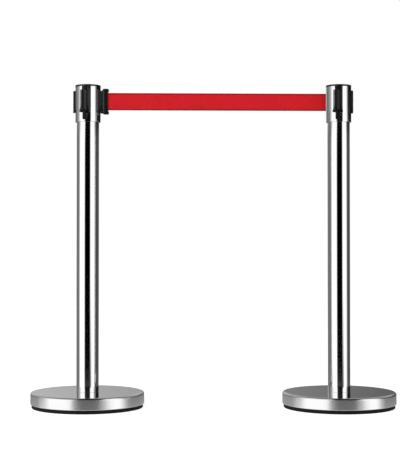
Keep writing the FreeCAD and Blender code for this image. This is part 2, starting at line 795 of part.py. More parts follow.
def belt_path(body, reach, aside):
    """The middle line of the belt, in a sketch at half the belt's height.

    It runs from (-reach, -aside) to the mouth, in along the X axis, under the guide roller and on to the
    drum.  Where aside is not nothing it bends once outside the clip and bends back before the mouth.
    """
    path = new_sketch(body, "XY_Plane", "belt_centre")
    far = FreeCAD.Vector(-number(reach), -number(aside), 0)
    turn, inner_edges, around = roller_end(reach)
    bent = far.y != 0
    if bent:
        inside = f"-({reach}) + clip_far - tape_end + bend_clear"
        outside = "-head_radius - bend_clear"
        one = FreeCAD.Vector(number(inside), far.y, 0)
        four = FreeCAD.Vector(number(outside), 0, 0)
        radius = size("bend_radius")
        side = FreeCAD.Vector(0, radius, 0)
        corner = 0
        for _ in range(9):
            lean = math.atan2(four.y - one.y, four.x - one.x - 2 * corner)
            corner = radius * math.tan(lean / 2)
        slope = FreeCAD.Vector(math.cos(lean), math.sin(lean), 0)
        two = one + (FreeCAD.Vector(1, 0, 0) + slope) * corner
        three = four - (FreeCAD.Vector(1, 0, 0) + slope) * corner
        edges = [Part.LineSegment(far, one), arc_about(one + side, radius, one, two),
                 Part.LineSegment(two, three), arc_about(four - side, radius, four, three),
                 Part.LineSegment(four, turn)]
    else:
        edges = [Part.LineSegment(far, turn)]
    numbers = chain(path, edges + inner_edges, far)
    straight, roller_arc, inner = numbers[-3:]
    place_point(path, numbers[0], 1, f"-({reach})", f"-({aside})")
    if bent:
        path.addConstraint(Sketcher.Constraint("Horizontal", numbers[0]))
        bind(path, "DistanceX", (-1, 1, numbers[0], 2), inside)
        bind(path, "DistanceX", (-1, 1, straight, 1), outside)
        bind(path, "Radius", (numbers[1],), "bend_radius")
        bind(path, "Radius", (numbers[3],), "bend_radius")
        path.addConstraint(Sketcher.Constraint("PointOnObject", straight, 1, -1))
    bind(path, "Radius", (roller_arc,), ROLLER_SIDE)
    place_point(path, roller_arc, 3, "-roller_out", ROLLER_SIDE)
    drum = path.addGeometry(Part.Circle(FreeCAD.Vector(), FreeCAD.Vector(0, 0, 1), around), True)
    path.addConstraint(Sketcher.Constraint("Coincident", drum, 3, -1, 1))
    bind(path, "Radius", (drum,), f"{roll_radius(reach)} + belt_clear + belt_thickness / 2")
    path.addConstraint(Sketcher.Constraint("Tangent", inner, 2, drum))
    return path


def belt_tape(name, reach, aside):
    """The belt between the drum and the clip: its section swept along its middle line."""
    body = doc.addObject("PartDesign::Body", name)
    path = belt_path(body, reach, aside)
    section = new_sketch(body, "YZ_Plane", f"-({reach})")
    low = "belt_centre - belt_width / 2"
    high = "belt_centre + belt_width / 2"
    outline(section, [
        (f"-({aside}) - belt_thickness / 2", low),
        (f"-({aside}) + belt_thickness / 2", low),
        (f"-({aside}) + belt_thickness / 2", high),
        (f"-({aside}) - belt_thickness / 2", high),
    ])
    pipe = body.newObject("PartDesign::AdditivePipe", name + "_pipe")
    pipe.Profile = section
    pipe.Spine = path
    pipe.Transition = "Transformed"
    return body


# ---------------------------------------------------------------- clip


def clip_form(name):
    """The outer form of a clip, before it is parted into two shells."""
    body = doc.addObject("PartDesign::Body", name)
    side = new_sketch(body, "XZ_Plane")
    low = "belt_centre - clip_half_height"
    high = "belt_centre + clip_half_height"
    outline(side, [
        ("clip_near", "belt_centre - clip_neck_half_height"),
        ("clip_shoulder", low),
        ("clip_far", low),
        ("clip_far", high),
        ("clip_shoulder", high),
        ("clip_near", "belt_centre + clip_neck_half_height"),
    ])
    pad = body.newObject("PartDesign::Pad", name + "_pad")
    pad.Profile = side
    pad.Midplane = True
    pad.setExpression("Length", formula("2 * clip_half_depth"))
    for sign in ("", "-"):
        taper = new_sketch(body, "XY_Plane", low)
        outline(taper, [
            ("clip_shoulder", f"{sign}clip_half_depth"),
            ("clip_far", f"{sign}clip_far_half_depth"),
            ("clip_far + cut_margin", f"{sign}clip_far_half_depth"),
            ("clip_far + cut_margin", f"{sign}(clip_half_depth + cut_margin)"),
            ("clip_shoulder", f"{sign}(clip_half_depth + cut_margin)"),
        ])
        cut = body.newObject("PartDesign::Pocket", name + "_taper")
        cut.Profile = taper
        cut.Reversed = True
        cut.setExpression("Length", formula("2 * clip_half_height"))
    fillet(body, "clip_round", lambda edge: True)
    return body


def clip_openings(name):
    """The belt's slot and the bores of the pin and the screws."""
    margin = "belt_width / 2 + clip_slot_margin"
    slot = box(name + "_slot", ("clip_slot_start", "-clip_slot_half", f"belt_centre - ({margin})"),
               ("clip_far + cut_margin", "clip_slot_half", f"belt_centre + {margin}"))
    pin = rod(name + "_pin", "pin_radius", "belt_centre - pin_half_height", "belt_centre + pin_half_height",
              "pin_out")
    tools = [slot, pin]
    for place, sign in (("low", "-"), ("high", "+")):
        z = f"belt_centre {sign} clip_screw_lift"
        tools.append(cross_rod(f"{name}_{place}_bore", "clip_screw_radius", "clip_screw_out",
                               "clip_half_depth", z, "clip_half_depth + clip_screw_length / 2"))
        tools.append(cross_rod(f"{name}_{place}_sink", "clip_screw_head + fit_gap", "clip_screw_out",
                               "clip_half_depth", z, "2 * clip_screw_sink"))
    return together(name, tools)


def cover_space(name, gap):
    """The half of the clip that the cover fills."""
    return box(name, (f"clip_split + ({gap})", gap, "belt_centre - 2 * clip_half_height"),
               ("2 * clip_far", "2 * clip_half_depth", "belt_centre + 2 * clip_half_height"))


def clip_body(name):
    """The front shell, with the T tongue that drops into a receiver."""
    neck = box(name + "_neck", ("tongue_near", "-tongue_neck_half", "tongue_bottom"),
               ("clip_near + clip_round", "tongue_neck_half", "tongue_top"))
    head = box(name + "_head", ("tongue_near", "-tongue_half_width", "tongue_bottom"),
               ("tongue_neck", "tongue_half_width", "tongue_top"))
    shell = minus(name + "_shell", clip_form(name + "_form"), cover_space(name + "_space", "0"))
    solid = together(name + "_solid", [shell, neck, head])
    return minus(name, solid, clip_openings(name + "_openings"))


def clip_cover(name):
    half = common(name + "_half", [clip_form(name + "_form"), cover_space(name + "_space", "running_gap")])
    return minus(name, half, clip_openings(name + "_openings"))


def clip_pin(name):
    body = doc.addObject("PartDesign::Body", name)
    ring_pad(body, None, "pin_radius", "belt_centre - pin_half_height", "belt_centre + pin_half_height",
             "pin_out")
    return body


def clip_screws(name):
    screws = []
    for place, sign in (("low", "-"), ("high", "+")):
        z = f"belt_centre {sign} clip_screw_lift"
        y = "clip_half_depth - 2 * clip_screw_sink"
        one = f"{name}_{place}"
        shank = cross_rod(one + "_shank", "clip_screw_radius", "clip_screw_out", y, z, "clip_screw_length")
        head = cross_rod(one + "_head", "clip_screw_head", "clip_screw_out", f"{y} + clip_screw_sink", z,
                         "clip_screw_sink")
        screws.append(together(one, [shank, head]))
    return group(name, screws)


# ---------------------------------------------------------------- the pair

POST_PIECES = (floor_ring, base_weight, base_cover, foot_spigot, tube, tie_rod, tie_rod_nuts,
               tie_rod_washers, head_core, head_sleeve, outlet_bezel, top_cap, cap_screws, cassette_frame,
               spring_cup, power_spring, spool, spindle, spindle_nut, guide_roller)
RECEIVERS = {"receiver_rear": 0, "receiver_side_a": 90, "receiver_side_b": -90}
CLIP_PIECES = (clip_body, clip_cover, clip_pin, clip_screws)

TURN = -size("post_turn")
POSTS = {
    "right": {"x": "post_spacing / 2", "angle": TURN, "reach": "post_spacing * cos(post_turn) - tape_end",
              "aside": "post_spacing * sin(post_turn)"},
    "left": {"x": "-post_spacing / 2", "angle": TURN - 90, "reach": "park_out - tape_end", "aside": "0"},
}
CLIPS = {
    "right": {"x": "-post_spacing / 2", "y": "0", "angle": TURN},
    "left": {"x": "-post_spacing / 2 + park_out * sin(post_turn)", "y": "park_out * cos(post_turn)",
             "angle": TURN - 90},
}

for side, post in POSTS.items():
    for make in POST_PIECES:
        label = f"{side}_{make.__name__}"
        put(make(label), label, post["x"], "0", post["angle"])
    for word, angle in RECEIVERS.items():
        label = f"{side}_{word}"
        put(receiver(label), label, post["x"], "0", post["angle"] + angle)
    put(belt_roll(f"{side}_belt_roll", post["reach"]), f"{side}_belt_roll", post["x"], "0", post["angle"])
    put(belt_tape(f"{side}_belt_tape", post["reach"], post["aside"]), f"{side}_belt_tape", post["x"], "0",
        post["angle"])
    clip = CLIPS[side]
    for make in CLIP_PIECES:
        label = f"{side}_{make.__name__}"
        put(make(label), label, clip["x"], clip["y"], clip["angle"])

doc.recompute()

for item in doc.Objects:
    if "Invalid" in item.State or "Error" in item.State:
        raise RuntimeError(f"{item.Label} failed: {item.State}")
for piece in pieces:
    if piece.Shape.isNull() or not piece.Shape.isValid() or not piece.Shape.Solids:
        raise RuntimeError(f"{piece.Label} has no sound solid")

os.makedirs("parts", exist_ok=True)
for piece in pieces:
    piece.Shape.exportStep(f"parts/{piece.Label}.step")
    print(f"{piece.Label}: {len(piece.Shape.Solids)} solid(s), {piece.Shape.Volume / 1000:.2f} cm3")
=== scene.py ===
"""The looks of a pair of belt stanchions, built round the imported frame.

Metres, +Z up, in the frame's own axes.  A post's own frame has its axis on Z and its belt mouth on -X.
A clip's own frame is that of the post it hooks on to: the clip reaches out along +X.
"""
import functools
import json
import math

import bmesh
import bpy
from mathutils import Matrix, Vector


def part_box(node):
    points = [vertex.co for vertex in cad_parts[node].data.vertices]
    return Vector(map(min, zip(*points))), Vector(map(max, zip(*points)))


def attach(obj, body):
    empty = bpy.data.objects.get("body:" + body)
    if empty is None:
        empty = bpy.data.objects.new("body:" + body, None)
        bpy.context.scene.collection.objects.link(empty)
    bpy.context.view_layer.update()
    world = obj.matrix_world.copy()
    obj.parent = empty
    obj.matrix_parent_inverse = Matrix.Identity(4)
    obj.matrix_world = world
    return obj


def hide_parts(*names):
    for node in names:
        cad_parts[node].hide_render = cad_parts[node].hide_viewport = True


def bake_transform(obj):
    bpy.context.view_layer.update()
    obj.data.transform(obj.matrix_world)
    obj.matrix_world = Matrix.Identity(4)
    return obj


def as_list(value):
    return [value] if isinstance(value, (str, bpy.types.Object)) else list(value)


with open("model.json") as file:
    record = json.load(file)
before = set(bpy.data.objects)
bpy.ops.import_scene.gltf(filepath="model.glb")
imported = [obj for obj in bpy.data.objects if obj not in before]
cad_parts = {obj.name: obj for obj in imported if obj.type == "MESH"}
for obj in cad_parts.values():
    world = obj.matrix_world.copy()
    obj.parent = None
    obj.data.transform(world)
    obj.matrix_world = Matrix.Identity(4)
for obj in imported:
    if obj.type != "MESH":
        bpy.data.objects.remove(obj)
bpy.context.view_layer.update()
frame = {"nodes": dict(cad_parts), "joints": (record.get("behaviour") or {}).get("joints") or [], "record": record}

MM = 0.001
SIDES = ("right", "left")
joints = {joint["name"]: joint for joint in frame["joints"]}


# -------- places read from the frame


def round_size(node):
    """Radius, lowest and highest height of a round node."""
    low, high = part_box(node)
    return (high[1] - low[1]) / 2, low[2], high[2]


def middle_of(node):
    """The middle of a node's box."""
    low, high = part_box(node)
    return (Vector(low) + Vector(high)) / 2


mouth_of_left = Vector(joints["left_belt_pull"]["axis"])
LEFT_TURN = math.atan2(mouth_of_left.y, mouth_of_left.x) - math.pi
RIGHT_TURN = LEFT_TURN + math.pi / 2
TURNS = {"right": RIGHT_TURN, "left": LEFT_TURN}
AXES = {side: Vector(joints[f"{side}_spool_spin"]["pos_m"]) for side in SIDES}
# How far a clip's pin is from the axis of the post that the clip hooks on to.
PIN_OUT = 51.5 * MM


def at(place, turn):
    """A matrix that sets a piece's own frame at a place on plan, turned about Z."""
    return Matrix.Translation((place.x, place.y, 0)) @ Matrix.Rotation(turn, 4, "Z")


POST_FRAMES = {side: at(AXES[side], TURNS[side]) for side in SIDES}
CLIP_FRAMES = {}
for side in SIDES:
    pin = middle_of(f"{side}_clip_pin")
    out = Vector((math.cos(TURNS[side]), math.sin(TURNS[side]), 0))
    CLIP_FRAMES[side] = at(pin - out * PIN_OUT, TURNS[side])

BASE_RADIUS, SKIRT_BOTTOM, COVER_TOP = round_size("right_base_cover")
RING_RADIUS, _, RING_TOP = round_size("right_floor_ring")
TUBE_RADIUS, TUBE_BOTTOM, TUBE_TOP = round_size("right_tube")
HEAD_RADIUS, HEAD_BOTTOM, HEAD_TOP = round_size("right_head_sleeve")
CAP_RADIUS, CAP_SPIGOT_BOTTOM, CAP_TOP = round_size("right_top_cap")
BELT_BOTTOM, BELT_TOP = (corner[2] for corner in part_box("right_belt_tape"))
BELT_CENTRE = (BELT_BOTTOM + BELT_TOP) / 2
BELT_WIDTH = BELT_TOP - BELT_BOTTOM
# Thickness of the sheet steel parts.
SHEET = 1.0 * MM
# Turns a form that stands on Z so that it looks along +Y.
LOOKING_BACK = Matrix.Rotation(-math.pi / 2, 4, "X")


# -------- mesh tools


def corner_arc(before, here, after, radius, steps):
    """Points along the arc that rounds the corner at here, between the points before and after it."""
    back = (before - here).normalized()
    on = (after - here).normalized()
    half = back.angle(on) / 2
    centre = here + (back + on).normalized() * radius / math.sin(half)
    first = here + back * radius / math.tan(half) - centre
    last = here + on * radius / math.tan(half) - centre
    start = math.atan2(first.y, first.x)
    sweep = (math.atan2(last.y, last.x) - start + math.pi) % (2 * math.pi) - math.pi
    for k in range(steps + 1):
        angle = start + sweep * k / steps
        yield centre + Vector((math.cos(angle), math.sin(angle))) * radius


def rounded(corners, steps=6):
    """A closed outline in metres through (x, y, radius) corners in millimetres, each one an arc."""
    points = []
    for i, (x, y, radius) in enumerate(corners):
        here = Vector((x, y))
        if not radius:
            points.append(here * MM)
            continue
        before = Vector(corners[i - 1][:2])
        after = Vector(corners[(i + 1) % len(corners)][:2])
        points += [point * MM for point in corner_arc(before, here, after, radius, steps)]
    return points


def both_sides(corners):
    """The corners of one side of an outline, then those of its mirror image in x = 0."""
    return corners + [(-x, y, radius) for x, y, radius in reversed(corners)]


def bar(half, low, high, radius, steps):
    """The outline of an upright bar with rounded corners, half its width either side of the middle."""
    return rounded(both_sides([(half, low, radius), (half, high, radius)]), steps)


def new_piece(name, mesh_maker):
    """An object whose mesh is filled in by mesh_maker(bmesh)."""
    work = bmesh.new()
    mesh_maker(work)
    bmesh.ops.recalc_face_normals(work, faces=work.faces)
    mesh = bpy.data.meshes.new(name)
    work.to_mesh(mesh)
    work.free()
    piece = bpy.data.objects.new(name, mesh)
    bpy.context.scene.collection.objects.link(piece)
    return piece


def lathe(name, outline, segments=192):
    """A closed outline of (radius, height) points turned about Z."""
    turn = 2 * math.pi / segments

    def fill(work):
        rings = []
        for radius, height in outline:
            count = segments if radius > 1e-7 else 1
            rings.append([work.verts.new((radius * math.cos(turn * k), radius * math.sin(turn * k), height))
                          for k in range(count)])
        for i, ring in enumerate(rings):
            join_rings(work, rings[i - 1], ring, segments)
    return new_piece(name, fill)


def join_rings(work, one, two, segments):
    """Faces between two rings of a lathe, either of which may be a single point on the axis."""
    if len(one) == 1 and len(two) == 1:
        return
    for k in range(segments):
        n = (k + 1) % segments
        corners = [one[k % len(one)], one[n % len(one)], two[n % len(two)], two[k % len(two)]]
        work.faces.new(list(dict.fromkeys(corners)))


def slab(name, outline, low, high, place=lambda a, b, c: (a, b, c)):
    """A flat outline given thickness from low to high; place(a, b, level) says where a point goes."""
    def fill(work):
        ends = [[work.verts.new(place(a, b, level)) for a, b in outline] for level in (low, high)]
        for ring in ends:
            work.faces.new(ring)
        for i in range(len(outline)):
            work.faces.new((ends[0][i - 1], ends[0][i], ends[1][i], ends[1][i - 1]))
    return new_piece(name, fill)


def block(name, low, high):
    """A cutting box between two corners in metres."""
    outline = [(low[0], low[1]), (high[0], low[1]), (high[0], high[1]), (low[0], high[1])]
    return slab(name, outline, low[2], high[2])


def set_down(piece):
    """Make the piece's modifiers part of its mesh."""
    seen = piece.evaluated_get(bpy.context.evaluated_depsgraph_get())
    mesh = bpy.data.meshes.new_from_object(seen)
    old = piece.data
    piece.modifiers.clear()
    piece.data = mesh
    mesh.name = piece.name
    bpy.data.meshes.remove(old)


def cut(piece, *tools, operation="DIFFERENCE"):
    """Cut tools out of a piece, or keep only what lies inside them."""
    for tool in tools:
        carve = piece.modifiers.new("cut", "BOOLEAN")
        carve.operation = operation
        carve.solver = "EXACT"
        carve.object = tool
        set_down(piece)
        bpy.data.objects.remove(tool)


def soften(piece, width, steps=2, angle=40):
    """Round the piece's sharp edges."""
    bevel = piece.modifiers.new("soften", "BEVEL")
    bevel.width = width
    bevel.segments = steps
    bevel.limit_method = "ANGLE"
    bevel.angle_limit = math.radians(angle)
    bevel.use_clamp_overlap = True
    set_down(piece)


def smooth(piece, angle=38):
    """Smooth shading that keeps flat faces flat and edges sharper than angle crisp."""
    piece.data.shade_smooth()
    piece.data.set_sharp_from_angle(angle=math.radians(angle))
    weigh = piece.modifiers.new("normals", "WEIGHTED_NORMAL")
    weigh.keep_sharp = True
    set_down(piece)


def reshape(piece, rule):
    """Move every vertex to rule(its place)."""
    for vertex in piece.data.vertices:
        vertex.co = rule(vertex.co)
    piece.data.update()


def slice_along(piece, axis, start, end, step, open_ends=False):
    """Cut a piece into strips across an axis, so that it can be bent; open_ends trims it to length."""
    work = bmesh.new()
    work.from_mesh(piece.data)
    normal = Vector((0, 0, 0))
    normal[axis] = 1
    count = max(1, round((end - start) / step))
    for k in range(count + 1):
        place = normal * (start + (end - start) * k / count)
        edge = open_ends and k in (0, count)
        everything = work.verts[:] + work.edges[:] + work.faces[:]
        bmesh.ops.bisect_plane(work, geom=everything, dist=1e-7, plane_co=place, plane_no=normal,
                               clear_inner=edge and k == 0, clear_outer=edge and k == count)
    work.to_mesh(piece.data)
    work.free()


def wrap(piece, radius):
    """Bend a piece round Z: X is the way round at that radius from angle 0, Y is depth outwards."""
    def rule(place):
        angle = place.x / radius
        out = radius + place.y
        return Vector((out * math.cos(angle), out * math.sin(angle), place.z))
    reshape(piece, rule)


def weld(piece):
    """Join the vertices that meet where a sheet was bent round on to itself."""
    work = bmesh.new()
    work.from_mesh(piece.data)
    bmesh.ops.remove_doubles(work, verts=work.verts, dist=2e-6)
    bmesh.ops.recalc_face_normals(work, faces=work.faces)
    work.to_mesh(piece.data)
    work.free()


def joined(name, parts):
    """One piece from several."""
    work = bmesh.new()
    for part in parts:
        part.data.transform(part.matrix_world)
        work.from_mesh(part.data)
        bpy.data.objects.remove(part)
    mesh = bpy.data.meshes.new(name)
    work.to_mesh(mesh)
    work.free()
    piece = bpy.data.objects.new(name, mesh)
    bpy.context.scene.collection.objects.link(piece)
    return piece


def turn_mesh(piece, angle):
    """Turn a piece's mesh about Z."""
    piece.data.transform(Matrix.Rotation(angle, 4, "Z"))
    return piece


# -------- materials


def add_node(tree, kind, inputs=(), **settings):
    """A node with its settings, each of its inputs given a value or linked to a socket."""
    node = tree.nodes.new(kind)
    for key, value in settings.items():
        setattr(node, key, value)
    for key, value in dict(inputs).items():
        if isinstance(value, bpy.types.NodeSocket):
            tree.links.new(value, node.inputs[key])
        else:
            node.inputs[key].default_value = value
    return node


class Finish:
    """A node material with one Principled shader, and short ways to add detail to it."""

    def __init__(self, name, **sockets):
        self.material = bpy.data.materials.new(name)
        self.material.use_nodes = True
        self.tree = self.material.node_tree
        self.shader = self.tree.nodes["Principled BSDF"]
        for socket, value in sockets.items():
            self.shader.inputs[socket.replace("_", " ")].default_value = value

    def add(self, kind, inputs=(), **settings):
        return add_node(self.tree, kind, inputs, **settings)

    def where(self, scale=(1, 1, 1)):
        """The piece's own coordinates in metres, stretched by scale."""
        return self.stretched(self.add("ShaderNodeTexCoord").outputs["Object"], scale)

    def stretched(self, vector, scale):
        """A vector socket scaled by a different amount each way."""
        return self.add("ShaderNodeMapping", {"Vector": vector, "Scale": scale}).outputs[0]

    def noise(self, scale, detail=3, stretch=(1, 1, 1), vector=None):
        source = vector or self.where(stretch)
        return self.add("ShaderNodeTexNoise", {"Vector": source, "Scale": scale, "Detail": detail}).outputs[0]

    def math(self, operation, a, b=0.0, c=0.0):
        return self.add("ShaderNodeMath", {0: a, 1: b, 2: c}, operation=operation).outputs[0]

    def between(self, value, low, high, start=0.0, end=1.0):
        """Value, which runs from start to end, mapped to low to high."""
        return self.add("ShaderNodeMapRange", {"Value": value, "From Min": start, "From Max": end,
                                               "To Min": low, "To Max": high}).outputs[0]

    def mixed(self, share, one, two):
        """A colour between two, by share."""
        return self.add("ShaderNodeMix", {0: share, 6: one, 7: two}, data_type="RGBA").outputs[2]

    def colour(self, socket):
        self.tree.links.new(socket, self.shader.inputs["Base Color"])

    def roughness(self, socket):
        self.tree.links.new(socket, self.shader.inputs["Roughness"])

    def bump(self, height, strength, distance):
        """Fine relief from a height, in metres at full strength."""
        relief = self.add("ShaderNodeBump", {"Height": height, "Strength": strength, "Distance": distance})
        self.tree.links.new(relief.outputs[0], self.shader.inputs["Normal"])


def grey(level):
    """A neutral colour."""
    return (level, level, level, 1.0)


def polished_steel():
    """Mirror-polished stainless steel: faint haze in patches and hair-fine polishing lines."""
    finish = Finish("polished_steel", Metallic=1.0, Base_Color=(0.86, 0.86, 0.87, 1), Roughness=0.07)
    haze = finish.noise(9.0, detail=5)
    lines = finish.noise(900.0, detail=2, stretch=(1, 1, 0.02))
    level = finish.math("MULTIPLY_ADD", haze, 0.05, 0.035)
    finish.roughness(finish.math("MULTIPLY_ADD", lines, 0.03, level))
    finish.colour(finish.mixed(haze, (0.84, 0.84, 0.85, 1), (0.90, 0.90, 0.905, 1)))
    finish.bump(lines, 0.012, 0.0002)
    return finish.material


def dish_steel():
    """The same steel on the base: a mirror on top, satin on the skirt where the press drew it."""
    finish = Finish("dish_steel", Metallic=1.0, Base_Color=(0.86, 0.86, 0.87, 1), Roughness=0.07)
    coords = finish.add("ShaderNodeTexCoord")
    split = finish.add("ShaderNodeSeparateXYZ", {"Vector": coords.outputs["Object"]})
    skirt = finish.between(split.outputs[2], 1.0, 0.0, COVER_TOP - 6 * MM, COVER_TOP - 3 * MM)
    haze = finish.noise(14.0, detail=5)
    rings = finish.noise(500.0, detail=2, stretch=(0.05, 0.05, 1))
    mirror = finish.math("MULTIPLY_ADD", haze, 0.05, 0.04)
    satin = finish.math("MULTIPLY_ADD", rings, 0.06, 0.16)
    blend = finish.add("ShaderNodeMix", {0: skirt, 2: mirror, 3: satin}, data_type="FLOAT")
    finish.roughness(blend.outputs[0])
    finish.colour(finish.mixed(haze, (0.83, 0.83, 0.84, 1), (0.89, 0.89, 0.895, 1)))
    finish.bump(rings, 0.02, 0.0002)
    return finish.material


def turned_steel():
    """Zinc-plated turned steel with fine tool rings."""
    finish = Finish("turned_steel", Metallic=1.0, Base_Color=(0.55, 0.56, 0.58, 1), Roughness=0.3)
    rings = finish.noise(700.0, detail=2, stretch=(0.05, 0.05, 1))
    finish.roughness(finish.between(rings, 0.22, 0.42))
    finish.colour(finish.mixed(finish.noise(60.0), (0.48, 0.49, 0.51, 1), (0.62, 0.63, 0.64, 1)))
    finish.bump(rings, 0.1, 0.0002)
    return finish.material


def spring_steel():
    """Blued strip steel."""
    finish = Finish("spring_steel", Metallic=1.0, Base_Color=(0.22, 0.25, 0.33, 1), Roughness=0.3)
    finish.colour(finish.mixed(finish.noise(80.0), (0.16, 0.19, 0.30, 1), (0.30, 0.30, 0.34, 1)))
    finish.roughness(finish.between(finish.noise(400.0), 0.22, 0.4))
    return finish.material


def cast_iron():
    """Sand-cast iron under dark primer."""
    finish = Finish("weight_iron", Metallic=0.25, Base_Color=(0.09, 0.09, 0.095, 1), Roughness=0.7)
    sand = finish.noise(380.0, detail=6)
    finish.colour(finish.mixed(finish.noise(30.0, detail=5), (0.06, 0.06, 0.063, 1), (0.13, 0.125, 0.12, 1)))
    finish.roughness(finish.between(sand, 0.58, 0.85))
    finish.bump(sand, 0.5, 0.0008)
    return finish.material


def rubber():
    """Black moulded rubber with a matt bloom."""
    finish = Finish("rubber_ring", Base_Color=grey(0.006), Roughness=0.6, Specular_IOR_Level=0.15)
    bloom = finish.noise(45.0, detail=6)
    grain = finish.noise(2600.0, detail=2)
    finish.colour(finish.mixed(bloom, grey(0.003), grey(0.012)))
    finish.roughness(finish.between(bloom, 0.5, 0.75))
    finish.bump(grain, 0.15, 0.0002)
    return finish.material


# The painted-light grey: a lighter grey painted on to black plastic where a face stands in as lit, a painted
# highlight.
PAINTED_LIGHT_GREY = 0.34


def plastic(name, low, high, rough_low, rough_high, grain_strength, specular):
    """Black moulded plastic: a fine spark-eroded grain, and patches a little glossier than the rest."""
    finish = Finish(name, Base_Color=grey(low), Roughness=rough_low, Specular_IOR_Level=specular)
    patches = finish.noise(70.0, detail=4)
    grain = finish.noise(4200.0, detail=2)
    # Painted light: faces given the face attribute are mixed towards the painted-light grey, standing in for light
    # falling on them.
    painted_light = finish.add("ShaderNodeAttribute", attribute_name="painted_light").outputs["Fac"]
    clean = finish.mixed(patches, grey(low), grey(high))
    finish.colour(finish.mixed(painted_light, clean, grey(PAINTED_LIGHT_GREY)))
    finish.roughness(finish.between(patches, rough_low, rough_high))
    finish.bump(grain, grain_strength, 0.0001)
    return finish.material


def webbing(name, red, dark, edge):
    """Woven polyester webbing.

    The map's first way runs along the belt in metres and its second across it.  Ribs run along, thrown
    over and under by the weft; the two selvedges are tighter and darker.
    """
    finish = Finish(name, Roughness=0.62, Sheen_Weight=0.1, Sheen_Roughness=0.4, Specular_IOR_Level=0.22)
    finish.shader.inputs["Sheen Tint"].default_value = (1.0, 0.55, 0.5, 1)
    uv = finish.add("ShaderNodeUVMap", uv_map="weave").outputs[0]
    split = finish.add("ShaderNodeSeparateXYZ", {"Vector": uv})
    along, across = split.outputs[0], split.outputs[1]
    rib_pitch = 1.15 * MM
    weft_pitch = 0.9 * MM
    lane = finish.math("FLOOR", finish.math("DIVIDE", across, rib_pitch))
    shift = finish.math("MULTIPLY", finish.math("MODULO", lane, 2.0), weft_pitch)
    across_wave = finish.math("SINE", finish.math("MULTIPLY", across, math.pi / rib_pitch))
    ribs = finish.math("ABSOLUTE", across_wave)
    along_wave = finish.math("SINE", finish.math("MULTIPLY", finish.math("ADD", along, shift),
                                                 math.pi / weft_pitch))
    throws = finish.between(along_wave, 0.35, 1.0, -1.0, 1.0)
    weave = finish.math("MULTIPLY", ribs, throws)
    fibre = finish.noise(5200.0, detail=2, vector=finish.stretched(uv, (0.12, 1, 1)))
    wander = finish.noise(38.0, detail=5, vector=finish.stretched(uv, (0.35, 1, 1)))
    height = finish.math("MULTIPLY_ADD", fibre, 0.25, weave)
    tone = finish.math("MULTIPLY_ADD", wander, 0.5, finish.math("MULTIPLY", weave, 0.6))
    cloth = finish.mixed(tone, dark, red)
    from_middle = finish.math("ABSOLUTE", across)
    plain_to = BELT_WIDTH / 2 - 5.2 * MM
    dark_from = BELT_WIDTH / 2 - 2.6 * MM
    selvedge = finish.between(from_middle, 0.0, 1.0, plain_to, dark_from)
    finish.colour(finish.mixed(selvedge, cloth, edge))
    finish.roughness(finish.between(fibre, 0.52, 0.75))
    finish.bump(height, 0.55, 0.00025)
    return finish.material


def screw_black():
    """Blackened screws."""
    finish = Finish("black_screws", Metallic=0.8, Base_Color=(0.03, 0.03, 0.03, 1), Roughness=0.4)
    finish.roughness(finish.between(finish.noise(900.0), 0.3, 0.5))
    finish.colour(finish.mixed(finish.noise(300.0), (0.02, 0.02, 0.02, 1), (0.05, 0.05, 0.05, 1)))
    return finish.material


MATERIALS = {
    "polished_steel": polished_steel(),
    "dish_steel": dish_steel(),
    "rubber_ring": rubber(),
    "weight_iron": cast_iron(),
    "turned_steel": turned_steel(),
    "spring_steel": spring_steel(),
    "black_plastic": plastic("black_plastic", low=0.002, high=0.006, rough_low=0.24, rough_high=0.34,
                             grain_strength=0.15, specular=0.22),
    "black_gloss": plastic("black_gloss", low=0.002, high=0.005, rough_low=0.14, rough_high=0.24,
                           grain_strength=0.08, specular=0.75),
    "black_screws": screw_black(),
    "red_belt": webbing("red_belt", red=(0.70, 0.009, 0.018, 1), dark=(0.49, 0.004, 0.008, 1),
                        edge=(0.29, 0.0012, 0.003, 1)),
}


def dress(piece, finish):
    """Give a piece one material."""
    piece.data.materials.clear()
    piece.data.materials.append(MATERIALS[finish])


def settle(piece, place, body, nodes, slot, finish=None):
    """Set a finished piece in its place, on its body, in place of its CAD nodes."""
    dress(piece, finish or slot)
    piece.data.transform(place)
    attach(piece, body)
    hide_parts(*nodes)


# -------- base and post

# Sizes of each part are in millimetres unless MM is in them.
RING_INNER = 143
GROOVES = (146.5, 149.75, 153.0)
GROOVE_HALF = 0.7
GROOVE_DEPTH = 1.1


def rubber_foot(name):
    """The ring that the base stands on, with three grooves in its tread."""
    outer = RING_RADIUS / MM
    top = RING_TOP / MM
    corners = [(RING_INNER, 0, 1.2)]
    for place in GROOVES:
        corners += [(place - GROOVE_HALF, 0, 0.25), (place - GROOVE_HALF, GROOVE_DEPTH, 0.4),
                    (place + GROOVE_HALF, GROOVE_DEPTH, 0.4), (place + GROOVE_HALF, 0, 0.25)]
    corners += [(outer, 0, 1.6), (outer, top, 1.2), (RING_INNER, top, 0.6)]
    piece = lathe(name, rounded(corners, 4), 256)
    smooth(piece)
    return piece


DISH_BORE = 9
SHOULDER = 6.0
HEM_WIDTH = 3.4
HEM_CORNER = 1.7
HEM_LIP = 0.45


def base_dish(name):
    """A pressed sheet dish: flat polished top, rounded shoulder, plain skirt and a hem rolled under."""
    outer, top, low = BASE_RADIUS / MM, COVER_TOP / MM, SKIRT_BOTTOM / MM
    sheet = SHEET / MM
    hem = outer - HEM_WIDTH
    corners = [
        (DISH_BORE, top, 0), (outer, top, SHOULDER), (outer, low, HEM_CORNER), (hem, low, HEM_LIP),
        (hem, low + sheet, HEM_LIP), (outer - sheet, low + sheet, 0.9),
        (outer - sheet, top - sheet, SHOULDER - sheet), (DISH_BORE, top - sheet, 0),
    ]
    piece = lathe(name, rounded(corners, 10), 320)
    smooth(piece)
    return piece


